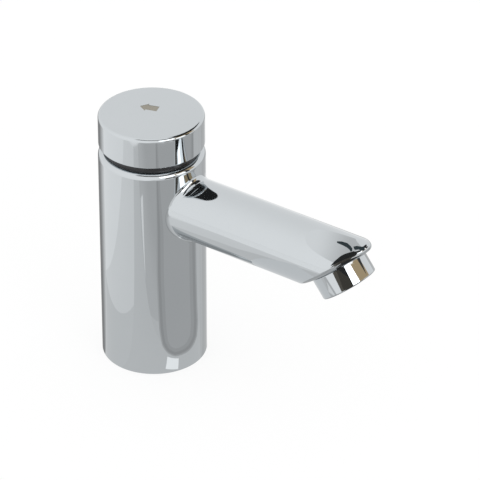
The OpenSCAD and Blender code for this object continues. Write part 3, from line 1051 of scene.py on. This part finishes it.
@dataclass
class PushCap:
    """Push cap with its press arrow."""

    cap_r: float = 23.75
    low_z: float = 108.6
    top_z: float = 123.4
    top_edge: float = 1.6
    low_edge: float = 0.7
    inner_r: float = 21.55
    ceiling: float = 119.4
    boss_r: float = 6.0
    boss_z: float = 112.0
    hole_r: float = 3.05
    hole_top: float = 118.4
    arrow_depth: float = 0.25
    arrow_fill: float = 0.12
    arrow_at: Pair = (-3.65, 3.13)
    arrow_turn: float = 18.0
    arrow_tip: float = 4.3
    arrow_neck: float = 0.9
    arrow_tail: float = 4.2
    arrow_head_half: float = 3.2
    arrow_half: float = 2.1

    def arrow_loop(self, z: float) -> list[Vector]:
        """Outline of the arrow at a height.

        Args:
            z: The height.

        Returns:
            Points from its tip round.
        """
        head, half, neck = self.arrow_head_half, self.arrow_half, -self.arrow_neck
        near = [(neck, -head), (neck, -half), (self.arrow_tail, -half)]
        shape = [(-self.arrow_tip, 0.0), *near, *((x, -y) for x, y in reversed(near))]
        turn = Matrix.Rotation(math.radians(self.arrow_turn), 3, "Z")
        place = Vector((*self.arrow_at, z))
        return [place + turn @ Vector((x, y, 0.0)) for x, y in shape]

    def build(self, finishes: Finishes) -> list[bpy.types.Object]:
        """Makes the cap and its arrow.

        Args:
            finishes: The finishes.

        Returns:
            The pieces made.
        """
        skin, place = Skin(), Placement()
        crown = self.cap_r - self.top_edge
        foot = self.cap_r - self.low_edge
        shoulder, ankle = self.top_z - self.top_edge, self.low_z + self.low_edge
        hollow = (
            (foot, self.low_z),
            (self.inner_r, self.low_z),
            (self.inner_r, self.ceiling),
            (self.boss_r, self.ceiling),
            (self.boss_r, self.boss_z),
            (self.hole_r, self.boss_z),
            (self.hole_r, self.hole_top),
            (0.0, self.hole_top),
        )
        strips = [
            edge_strip((crown, shoulder), self.top_edge, 90.0, 0.0, steps=12),
            *path_strips(((self.cap_r, shoulder), (self.cap_r, ankle)), flip=True, steps=4),
            edge_strip((foot, ankle), self.low_edge, 0.0, -90.0, steps=5),
            *path_strips(hollow, flip=True),
        ]
        skin.turn(strips, place)
        up = Vector((0.0, 0.0, 1.0))
        rim = [place.direction(a) * crown + up * self.top_z for a in ring_angles()]
        skin.flat(rim, [self.arrow_loop(self.top_z)], up)
        floor_z = self.top_z - self.arrow_depth
        self.add_wall(skin, self.top_z, floor_z, inwards=True)
        skin.flat(self.arrow_loop(floor_z), [], up)
        cap = skin.piece("push_cap_shell", finishes.of(Slot.CHROME))
        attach(cap, Body.BUTTON.value)
        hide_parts("push_cap")
        fill = Skin()
        fill_z = floor_z + self.arrow_fill
        fill.flat(self.arrow_loop(fill_z), [], up)
        fill.flat(self.arrow_loop(floor_z), [], -up)
        self.add_wall(fill, fill_z, floor_z, inwards=False)
        arrow = fill.piece("press_arrow", finishes.arrow)
        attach(arrow, Body.BUTTON.value)
        return [cap, arrow]

    def add_wall(self, skin: Skin, high: float, low: float, inwards: bool) -> None:
        """Adds the upright wall round the arrow.

        Args:
            skin: The surface that it joins.
            high: Upper edge.
            low: Lower edge.
            inwards: Whether the wall looks into the arrow.
        """
        upper, lower = self.arrow_loop(high), self.arrow_loop(low)
        count = len(upper)
        turn = sum(a.x * b.y - b.x * a.y for a, b in zip(upper, [*upper[1:], upper[0]]))
        for i in range(count):
            j = (i + 1) % count
            run = upper[j] - upper[i]
            out = Vector((run.y, -run.x, 0.0)).normalized() * (1.0 if turn > 0.0 else -1.0)
            normal = -out if inwards else out
            skin.face(((upper[i], normal), (upper[j], normal), (lower[j], normal), (lower[i], normal)))


@dataclass
class OutletFitting:
    """Outlet collar on its shank."""

    place: Placement
    collar_r: float = 12.9
    height: float = 10.0
    end_edge: float = 0.6
    upper_edge: float = 0.3
    shank_r: float = 11.9
    shank_h: float = 4.6
    bore_r: float = 10.2
    lip_r: float = 9.5
    lip_h: float = 1.2

    def build(self, finishes: Finishes) -> list[bpy.types.Object]:
        """Makes the collar.

        Args:
            finishes: The finishes.

        Returns:
            The pieces made.
        """
        skin = Skin()
        end_r, upper_r = self.collar_r - self.end_edge, self.collar_r - self.upper_edge
        lip_z = self.height - self.lip_h
        side_end = self.height - self.end_edge
        bore = (
            (end_r, self.height),
            (self.lip_r, self.height),
            (self.lip_r, lip_z),
            (self.bore_r, lip_z),
            (self.bore_r, -self.shank_h),
            (self.shank_r, -self.shank_h),
        )
        strips = [
            *path_strips(((self.shank_r, -self.shank_h), (self.shank_r, 0.0), (upper_r, 0.0))),
            edge_strip((upper_r, self.upper_edge), self.upper_edge, -90.0, 0.0, steps=6),
            *path_strips(((self.collar_r, self.upper_edge), (self.collar_r, side_end)), steps=4),
            edge_strip((end_r, side_end), self.end_edge, 0.0, 90.0),
            *path_strips(bore),
        ]
        skin.turn(strips, self.place)
        collar = skin.piece("outlet_collar_ring", finishes.of(Slot.CHROME))
        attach(collar, Body.TAP.value)
        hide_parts("outlet_collar")
        return [collar]


@dataclass
class InnerWorks:
    """Valve cartridge, button gear and seals: the spring is wound here, the other solids are dressed."""

    wire_r: float = 0.9
    spring_r: float = 7.6
    turns: float = 5.6
    seat_z: float = 45.0
    piston_z: float = 66.0
    travel: float = 3.0
    dressed: dict[Slot, tuple[str, ...]] = field(
        default_factory=lambda: {
            Slot.BRASS: ("valve_seat", "spindle_bush", "head_nut", "valve_carrier", "valve_nut"),
            Slot.STEEL: ("inlet_strainer", "spindle", "spindle_lock_nut", "retaining_ring"),
            Slot.RUBBER: (
                "base_gasket",
                "strainer_seal",
                "seat_seal",
                "sleeve_o_ring",
                "cover_o_ring",
                "spindle_o_ring",
                "outlet_washer",
                "piston_seal",
                "valve_washer",
            ),
            Slot.BLACK: ("cap_guide_ring", "flow_regulator"),
            Slot.WHITE: (
                "cartridge_sleeve",
                "cartridge_cover",
                "flow_straightener",
                "outlet_screen",
                "piston",
            ),
        }
    )

    def build(self, finishes: Finishes, nodes: dict[str, bpy.types.Object]) -> list[bpy.types.Object]:
        """Winds the spring and dresses the solids that stay.

        Args:
            finishes: The finishes.
            nodes: Solids of the frame by name.

        Returns:
            The pieces made or dressed.
        """
        coil = CoilTree("spring_wire", sides=16)
        room = self.piston_z - self.seat_z
        spring = coil.piece(
            "return_spring_wire",
            finishes.of(Slot.STEEL),
            (0.0, 0.0, self.seat_z + self.wire_r),
            self.spring_r,
            self.wire_r,
            self.turns,
            room - 2.0 * self.wire_r,
        )
        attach(spring, Body.TAP.value)
        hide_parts("return_spring")
        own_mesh(spring)
        made = [spring]
        for slot, names in self.dressed.items():
            for name in names:
                solid = nodes[name]
                solid.data.materials.clear()
                solid.data.materials.append(finishes.of(slot))
                made.append(solid)
        return made


@dataclass(frozen=True)
class Card:
    """A flat glowing card on the floor that lights nothing and only the plated faces see, graded along a span
    of X: a painted reflection.
    """

    name: str
    outline: tuple[Pair, ...]
    lift: float
    levels: Pair
    span: Pair = (-0.1, 0.1)


MIDDLE: Triple = (0.05, 0.0, 0.09)


@dataclass(frozen=True)
class Patch:
    """A glowing patch of a dome that lights nothing and only the plated faces see, given by the directions
    that it covers: a painted reflection, bright or dark.
    """

    name: str
    azimuths: Pair
    elevations: Pair
    distance: float
    level: float
    tint: Colour = PLAIN_LIGHT
    centre: Triple = MIDDLE
    step: float = 5.0
    lean: float = 0.0
    end_level: float | None = None
    span: Pair = (0.0, 1.0)
    inner_only: bool = False

    def mesh(self) -> tuple[list[Vector], list[tuple[int, ...]]]:
        """Lays out the patch.

        Returns:
            Its points and its faces.
        """
        (a0, a1), (e0, e1) = self.azimuths, self.elevations
        wide = max(1, round((a1 - a0) / self.step))
        high = max(1, round((e1 - e0) / self.step))
        points = []
        for j in range(high + 1):
            e = math.radians(e0 + (e1 - e0) * j / high)
            start = a0 + self.lean * j / high
            for i in range(wide + 1):
                a = math.radians(start + (a1 - start) * i / wide)
                way = Vector((math.cos(e) * math.cos(a), math.cos(e) * math.sin(a), math.sin(e)))
                points.append(Vector(self.centre) + way * self.distance)
        row = wide + 1
        starts = [j * row + i for j in range(high) for i in range(wide)]
        return points, [(n, n + 1, n + row + 1, n + row) for n in starts]


@dataclass(frozen=True)
class Flag:
    """A small glowing flag close to the tap that lights nothing and only the plated faces see: a painted
    reflection, bright or dark.
    """

    name: str
    corners: tuple[Triple, ...]
    level: float
    tint: Colour
    inner_only: bool = False


SHEET_ENDS: Pair = (-0.224, 0.9)
SHEET_LIFT = 0.0003
SHEETS: tuple[tuple[str, Pair, Pair, Pair], ...] = (
    ("sheet_left", (-0.9, -0.0855), (1.05, 1.02), (-0.2, -0.08)),
    ("sheet_second", (-0.0855, -0.001), (0.79, 0.77), (-0.08, 0.0)),
    ("sheet_third", (-0.001, 0.037), (0.745, 0.725), (0.0, 0.037)),
    ("sheet_right", (0.037, 0.9), (0.70, 0.69), (0.03, 0.1)),
)
# Outlines and levels of the dark sheets under the spout: a painted shadow of the spout on the floor, seen
# only in the plated faces.
OVAL_FAR = 0.5
OVAL_NEAR: Pair = (0.225, -0.224)
SPOUT_SHADOW_RINGS: tuple[tuple[float, float, tuple[Pair, ...]], ...] = (
    (
        0.0005,
        0.53,
        (
            (0.1008, -0.1053), (0.0731, -0.0787), (0.0586, -0.0602), (0.0429, -0.0418),
            (0.0353, -0.0302), (0.0331, -0.0216), (0.0326, -0.0137), (0.0339, -0.0061),
            (0.0349, 0.0052), (0.0361, 0.0174), (0.0412, 0.0294), (0.0585, 0.0506),
            (0.0809, 0.0779),
        ),
    ),
    (
        0.0006,
        0.425,
        (
            (0.1053, -0.1007), (0.0764, -0.0754), (0.0610, -0.0576), (0.0445, -0.0402),
            (0.0366, -0.0294), (0.0342, -0.0214), (0.0336, -0.0139), (0.0350, -0.0064),
            (0.0361, 0.0044), (0.0378, 0.0161), (0.0437, 0.0272), (0.0625, 0.0471),
            (0.0869, 0.0726),
        ),
    ),
    (
        0.0007,
        0.48,
        (
            (0.1140, -0.0903), (0.0827, -0.0680), (0.0656, -0.0519), (0.0478, -0.0366),
            (0.0393, -0.0276), (0.0365, -0.0210), (0.0358, -0.0141), (0.0371, -0.0072),
            (0.0385, 0.0025), (0.0411, 0.0130), (0.0480, 0.0223), (0.0695, 0.0391),
            (0.0974, 0.0609),
        ),
    ),
    (
        0.0008,
        0.535,
        (
            (0.1229, -0.0769), (0.0892, -0.0585), (0.0702, -0.0445), (0.0511, -0.0318),
            (0.0423, -0.0250), (0.0393, -0.0203), (0.0384, -0.0144), (0.0396, -0.0084),
            (0.0412, -0.0003), (0.0444, 0.0087), (0.0520, 0.0160), (0.0759, 0.0291),
            (0.1070, 0.0461),
        ),
    ),
)
LIMB_REACH = 0.6
LIMB_LIFT = 0.0006
LIMBS: tuple[tuple[str, Pair, tuple[Triple, ...]], ...] = (
    (
        "limb",
        (-0.013, -0.020),
        (
            (118.0, 160.0, 0.28),
            (160.0, 166.0, 0.42),
            (166.0, 171.0, 0.55),
            (171.0, 176.0, 0.70),
            (176.0, 181.0, 0.84),
        ),
    ),
    ("right_limb", (0.0235, 0.0026), ((66.0, 80.0, 0.665), (80.0, 106.0, 0.59))),
)
NOSE: Triple = (0.113, -0.008, 0.091)
LIP: Triple = (0.111, -0.009, 0.091)
COLLAR_MIDDLE: Triple = (0.118, -0.008, 0.077)
STRIPE_MIDDLE: Triple = (0.04, 0.0, 0.097)
# Tints of painted reflections: brown for the collar's bands, bluish for the streaks on the spout's top.
BROWN: Colour = (1.0, 0.9, 0.76)
BLUISH: Colour = (0.7, 0.9, 1.0)
# Corners of two small dark flags that hover about 2 mm over the spout's top near the tip and paint its dark
# streaks as painted reflections.
STREAK_LEFT: tuple[Triple, ...] = (
    (0.1012, -0.0029, 0.0988), (0.1032, -0.0017, 0.0989), (0.1058, -0.0014, 0.0989),
    (0.1081, -0.0025, 0.0988), (0.1098, -0.0039, 0.0987), (0.1106, -0.0059, 0.0984),
    (0.1097, -0.0060, 0.0983), (0.1091, -0.0053, 0.0984), (0.1073, -0.0045, 0.0985),
    (0.1051, -0.0041, 0.0986), (0.1032, -0.0040, 0.0986), (0.1018, -0.0039, 0.0986),
)
STREAK_RIGHT: tuple[Triple, ...] = (
    (0.1095, -0.0023, 0.0988), (0.1106, -0.0008, 0.0989), (0.1125, -0.0001, 0.0989),
    (0.1170, 0.0002, 0.0984), (0.1185, -0.0011, 0.0960), (0.1170, -0.0040, 0.0980),
    (0.1128, -0.0037, 0.0991), (0.1108, -0.0039, 0.0988),
)


def sheet_cards() -> list[Card]:
    """Long glowing sheets side by side, which paint the upright stripes of reflection on pillar and cap.

    Returns:
        The cards.
    """
    near, far = SHEET_ENDS
    made = []
    for name, (left, right), levels, span in SHEETS:
        outline = ((left, near), (right, near), (right, far), (left, far))
        made.append(Card(name, outline, SHEET_LIFT, levels, span))
    return made


def spout_shadow_cards() -> list[Card]:
    """Dark sheets under the spout, darker along their rim: a painted shadow of the spout on the floor, which
    shows only in reflection as the long oval on the pillar.

    Returns:
        The cards, from the lowest up.
    """
    far = ((OVAL_FAR, OVAL_FAR), (OVAL_FAR, OVAL_NEAR[1]), OVAL_NEAR)
    made = []
    for i, (lift, level, rim) in enumerate(SPOUT_SHADOW_RINGS):
        made.append(Card(f"oval_{i}", (*rim, *far), lift, (level, level)))
    return made


def limb_cards() -> list[Card]:
    """Narrow dim fans beside the pillar that paint its left and right edges darker in reflection.

    Returns:
        The cards.
    """
    made = []
    for name, (x, y), fans in LIMBS:
        for i, (start, end, level) in enumerate(fans):
            ends = [math.radians(start), math.radians(end)]
            rim = [(x + LIMB_REACH * math.cos(a), y + LIMB_REACH * math.sin(a)) for a in ends]
            made.append(Card(f"{name}_{i}", ((x, y), *rim), LIMB_LIFT, (level, level)))
    return made


@dataclass
class Studio:
    """Floor, sky, lamp, the cards, patches and flags that paint reflections on the plated faces, and the
    camera at the photograph's viewing angle.
    """

    image_side: float = 480.0
    focal_pixels: float = 3549.0
    sensor: float = 36.0
    clip: Pair = (0.01, 50.0)
    azimuth: float = 35.93
    elevation: float = 32.2
    distance: float = 1.6
    target: Triple = (0.0, 0.0, 0.060)
    aside: float = 0.03914
    lift: float = -0.00248
    floor_z: float = -0.0002
    floor_half: float = 3.0
    floor_colour: Colour = (0.96, 0.96, 0.96)
    floor_glow: float = 0.85
    sky_span: Pair = (-0.9, 0.8)
    sky_levels: Pair = (1.12, 0.98)
    lamp_size: Pair = (0.62, 0.36)
    lamp_energy: float = 1.6
    lamp_at: Triple = (0.957, -0.348, 0.606)
    # The cards, patches and flags below glow but light nothing and cast no shadow; only the plated faces see
    # them, so each paints a reflection.
    cards: tuple[Card, ...] = (
        *sheet_cards(),
        Card(
            "second_light",
            ((-0.0855, -0.224), (-0.001, -0.224), (-0.001, -0.078), (-0.05, -0.045), (-0.0855, -0.018)),
            0.0004,
            (0.91, 0.88),
            (-0.08, 0.0),
        ),
        Card(
            "shoulder",
            (
                (0.037, -0.224),
                (0.225, -0.224),
                (0.1008, -0.1053),
                (0.0731, -0.0787),
                (0.0586, -0.0602),
                (0.047, -0.047),
                (0.037, -0.062),
            ),
            0.0004,
            (0.64, 0.56),
            (0.045, 0.10),
        ),
        Card("light_wedge", ((0.038, -0.095), (0.042, -0.170), (0.056, -0.170)), 0.0008, (0.95, 0.95)),
        # foot_patch: a bright patch on the floor by the pillar's foot, which paints a highlight on the lower
        # pillar in reflection.
        Card(
            "foot_patch",
            ((0.0299, -0.0205), (0.0307, -0.0103), (0.0220, -0.0108), (0.0205, -0.0172)),
            0.0008,
            (1.25, 1.25),
        ),
        Card(
            "front_ground",
            (
                (0.225, -0.03),
                (0.215, -0.08),
                (0.18, -0.145),
                (0.165, -0.165),
                (0.35, -0.62),
                (0.8, -0.7),
                (0.9, -0.25),
            ),
            0.001,
            (0.85, 0.85),
        ),
        Card(
            "near_reflector",
            ((-2.0, -2.5), (2.0, -2.5), (2.0, -0.226), (-2.0, -0.226)),
            SHEET_LIFT,
            (1.08, 1.12),
            (-1.0, 1.0),
        ),
        *spout_shadow_cards(),
        *limb_cards(),
    )
    patches: tuple[Patch, ...] = (
        Patch("dark_ring", (-100.0, 100.0), (50.0, 65.0), 1.3, 0.03),
        Patch("dark_back", (8.0, 105.0), (37.0, 70.0), 1.3, 0.03),
        # Small sheets 2 to 6 cm from the nose and the collar, seen only from inside, paint the dark crescent
        # on the nose, the dark brown bands on the collar and a light halo round the tip: painted reflections.
        Patch("near_flag", (-90.0, -40.0), (-6.0, 34.0), 0.06, 0.12, BROWN, COLLAR_MIDDLE, inner_only=True),
        Patch(
            "nose_flag_low",
            (-108.0, -36.0),
            (0.0, 36.0),
            0.03,
            0.03,
            centre=NOSE,
            lean=-16.0,
            inner_only=True,
        ),
        Patch(
            "nose_flag_high",
            (-124.0, 0.0),
            (36.0, 80.0),
            0.03,
            0.03,
            centre=NOSE,
            lean=-54.0,
            inner_only=True,
        ),
        Patch("lip_flag", (-52.0, 30.0), (-72.0, -28.0), 0.02, 0.04, centre=LIP, inner_only=True),
        Patch("lip_flag_near", (-76.0, -34.0), (-34.0, 4.0), 0.02, 0.07, BROWN, LIP, inner_only=True),
        Patch(
            "tip_halo",
            (118.0, 256.0),
            (22.0, 86.0),
            0.031,
            1.03,
            centre=NOSE,
            end_level=0.70,
            span=(0.086, 0.099),
            inner_only=True,
        ),
        # stripe_fill paints the bright upright highlight stripe on the cap and stripe_edge the dark line
        # beside it; warm_board paints warm tan tones into the reflections.
        Patch("stripe_fill", (-6.0, 20.0), (14.0, 36.0), 0.15, 2.0, centre=STRIPE_MIDDLE),
        Patch("stripe_edge", (20.0, 32.0), (8.0, 42.0), 0.15, 0.06, centre=STRIPE_MIDDLE),
        Patch("warm_board", (-4.5, 47.0), (14.0, 42.0), 0.9, 0.55, tint=(1.0, 0.76, 0.46)),
    )
    flags: tuple[Flag, ...] = (
        # flank_fill, a light upright card under the spout, paints a lighter reflection on the spout's lower
        # near flank.
        Flag(
            "flank_fill",
            ((0.052, 0.030, 0.0015), (0.052, -0.075, 0.0015), (0.052, -0.075, 0.055), (0.052, 0.030, 0.055)),
            0.81,
            (0.98, 0.99, 1.0),
            inner_only=True,
        ),
        # The streak flags paint dark streaks on the spout's top near the tip.
        Flag("streak_left", STREAK_LEFT, 0.07, BLUISH),
        Flag("streak_right", STREAK_RIGHT, 0.07, BLUISH),
    )

    def add_camera(self) -> None:
        """Adds the camera."""
        a, e = math.radians(self.azimuth), math.radians(self.elevation)
        back = Vector((math.sin(a) * math.cos(e), -math.cos(a) * math.cos(e), math.sin(e)))
        right = Vector((math.cos(a), math.sin(a), 0.0))
        up = back.cross(right)
        data = bpy.data.cameras.new("photo_camera")
        data.sensor_width = self.sensor
        data.lens = self.sensor * self.focal_pixels / self.image_side
        data.clip_start, data.clip_end = self.clip
        camera = bpy.data.objects.new("photo_camera", data)
        where = Vector(self.target) + back * self.distance + right * self.aside + up * self.lift
        turn = Matrix((right, up, back)).transposed().to_4x4()
        camera.matrix_world = Matrix.Translation(where) @ turn
        bpy.context.scene.collection.objects.link(camera)
        bpy.context.scene.camera = camera

    @staticmethod
    def _graded(sheet: NodeSheet, coordinates: str, axis: str, span: Pair, levels: Pair) -> bpy.types.Node:
        """Adds nodes for a value that changes smoothly along an axis.

        Args:
            sheet: The nodes that they join.
            coordinates: Which coordinates they read.
            axis: Letter of the axis.
            span: Where the change starts and ends.
            levels: The value at these two places.

        Returns:
            The last node, whose output is Result.
        """
        place = sheet.add("ShaderNodeTexCoord")
        apart = sheet.add("ShaderNodeSeparateXYZ")
        reach = sheet.add(
            "ShaderNodeMapRange",
            interpolation_type="SMOOTHSTEP",
            From_Min=span[0],
            From_Max=span[1],
            To_Min=levels[0],
            To_Max=levels[1],
        )
        sheet.join(place, coordinates, apart, "Vector")
        sheet.join(apart, axis, reach, "Value")
        return reach

    @staticmethod
    def _one_sided(sheet: NodeSheet, shown: Output, front: bool) -> Output:
        """Adds nodes that clear one side of a sheet.

        Args:
            sheet: The nodes that they join.
            shown: Node and output that give the side that is seen.
            front: Whether that is the front.

        Returns:
            Node and output that give both sides.
        """
        side = sheet.add("ShaderNodeNewGeometry")
        clear = sheet.add("ShaderNodeBsdfTransparent")
        seen = sheet.add("ShaderNodeMixShader")
        sheet.join(side, "Backfacing", seen, "Fac")
        sheet.join(*shown, seen, 1 if front else 2)
        sheet.join(clear, "BSDF", seen, 2 if front else 1)
        return seen, "Shader"

    def add_floor(self) -> None:
        """Adds the pale floor, which is clear from below so that the underside can be seen."""
        half, z = self.floor_half, self.floor_z
        corners = ((-half, -half, z), (half, -half, z), (half, half, z), (-half, half, z))
        floor = new_object("studio_floor", corners, [(0, 1, 2, 3)])
        material, sheet = bare_material("studio_floor")
        matt = sheet.add("ShaderNodeBsdfDiffuse", Color=(*self.floor_colour, 1.0))
        lit = sheet.add("ShaderNodeEmission")
        light = sheet.add("ShaderNodeLightPath")
        mirrored = sheet.add("ShaderNodeMath", operation="MAXIMUM")
        through = sheet.add("ShaderNodeMath", operation="MAXIMUM")
        share = sheet.add("ShaderNodeMath", operation="MULTIPLY")
        share.inputs[1].default_value = self.floor_glow
        mixed = sheet.add("ShaderNodeMixShader")
        out = sheet.add("ShaderNodeOutputMaterial")
        sheet.join(light, "Is Camera Ray", mirrored, 0)
        sheet.join(light, "Is Glossy Ray", mirrored, 1)
        sheet.join(mirrored, "Value", through, 0)
        sheet.join(light, "Is Transmission Ray", through, 1)
        sheet.join(through, "Value", share, 0)
        sheet.join(share, "Value", mixed, "Fac")
        sheet.join(matt, "BSDF", mixed, 1)
        sheet.join(lit, "Emission", mixed, 2)
        sheet.join(*self._one_sided(sheet, (mixed, "Shader"), front=True), out, "Surface")
        floor.data.materials.append(material)

    def hang(
        self,
        name: str,
        corners: Sequence[Sequence[float]],
        faces: Sequence[tuple[int, ...]],
        levels: Pair,
        span: Pair,
        tint: Colour = PLAIN_LIGHT,
        inner_only: bool = False,
    ) -> None:
        """Hangs a glowing sheet that lights nothing and only the plated faces see: a painted reflection.

        Args:
            name: Name of the sheet.
            corners: Its corners.
            faces: Numbers of the corners round each face.
            levels: How bright it is at the two ends of the span.
            span: Where the span starts and ends along X.
            tint: Its colour.
            inner_only: Whether its front is clear.
        """
        made = new_object(name, corners, faces)
        material, sheet = bare_material(name)
        lit = sheet.add("ShaderNodeEmission", Color=(*tint, 1.0))
        out = sheet.add("ShaderNodeOutputMaterial")
        sheet.join(self._graded(sheet, "Object", "X", span, levels), "Result", lit, "Strength")
        shown = (lit, "Emission")
        if inner_only:
            shown = self._one_sided(sheet, shown, front=False)
        sheet.join(*shown, out, "Surface")
        made.data.materials.append(material)
        made.visible_camera = False
        made.visible_diffuse = False
        made.visible_shadow = False

    def add_card(self, card: Card) -> None:
        """Adds a studio card that lies on the floor.

        Args:
            card: Its outline and how bright it is.
        """
        corners = [(x, y, card.lift) for x, y in card.outline]
        self.hang(card.name, corners, [tuple(range(len(corners)))], card.levels, card.span)

    def add_patch(self, patch: Patch) -> None:
        """Adds a patch of the dome.

        Args:
            patch: Its directions and how bright it is.
        """
        points, faces = patch.mesh()
        end = patch.level if patch.end_level is None else patch.end_level
        self.hang(patch.name, points, faces, (patch.level, end), patch.span, patch.tint, patch.inner_only)

    def add_flag(self, flag: Flag) -> None:
        """Adds a small flag.

        Args:
            flag: Its corners and how bright it is.
        """
        faces, levels = [tuple(range(len(flag.corners)))], (flag.level, flag.level)
        self.hang(flag.name, flag.corners, faces, levels, (0.0, 1.0), flag.tint, flag.inner_only)

    def add_sky(self) -> None:
        """Adds the soft white tent round the tap, a little brighter on the near side."""
        world = bpy.data.worlds.new("soft_tent")
        bpy.context.scene.world = world
        world.use_nodes = True
        world.node_tree.nodes.clear()
        sheet = NodeSheet(world.node_tree)
        back = sheet.add("ShaderNodeBackground", Color=(*PLAIN_LIGHT, 1.0))
        out = sheet.add("ShaderNodeOutputWorld")
        reach = self._graded(sheet, "Generated", "Y", self.sky_span, self.sky_levels)
        sheet.join(reach, "Result", back, "Strength")
        sheet.join(back, "Background", out, "Surface")

    def add_lamp(self) -> None:
        """Adds the softbox on the spout's side."""
        data = bpy.data.lights.new("side_softbox", "AREA")
        data.shape = "RECTANGLE"
        data.size, data.size_y = self.lamp_size
        data.energy = self.lamp_energy
        lamp = bpy.data.objects.new("side_softbox", data)
        where = Vector(self.lamp_at)
        lamp.location = where
        lamp.rotation_mode = "QUATERNION"
        lamp.rotation_quaternion = (Vector(MIDDLE) - where).to_track_quat("-Z", "Y")
        lamp.visible_camera = False
        bpy.context.scene.collection.objects.link(lamp)

    def build(self) -> None:
        """Sets up the studio."""
        bpy.context.scene.view_settings.view_transform = "Standard"
        self.add_camera()
        self.add_floor()
        for card in self.cards:
            self.add_card(card)
        for patch in self.patches:
            self.add_patch(patch)
        for flag in self.flags:
            self.add_flag(flag)
        self.add_sky()
        self.add_lamp()


def main() -> None:
    """Builds the tap's sub-assemblies in order and reports each piece."""
    logging.basicConfig(level=logging.INFO)
    finishes = Finishes(SharedEffects())
    casting = TapCasting()
    pieces = casting.build(finishes)
    pieces += PushCap().build(finishes)
    pieces += OutletFitting(casting.outlet()).build(finishes)
    pieces += InnerWorks().build(finishes, frame["nodes"])
    for piece in pieces:
        LOG.info("%s: %d faces", piece.name, len(piece.data.polygons))
    Studio().build()


if __name__ == "__main__":
    main()
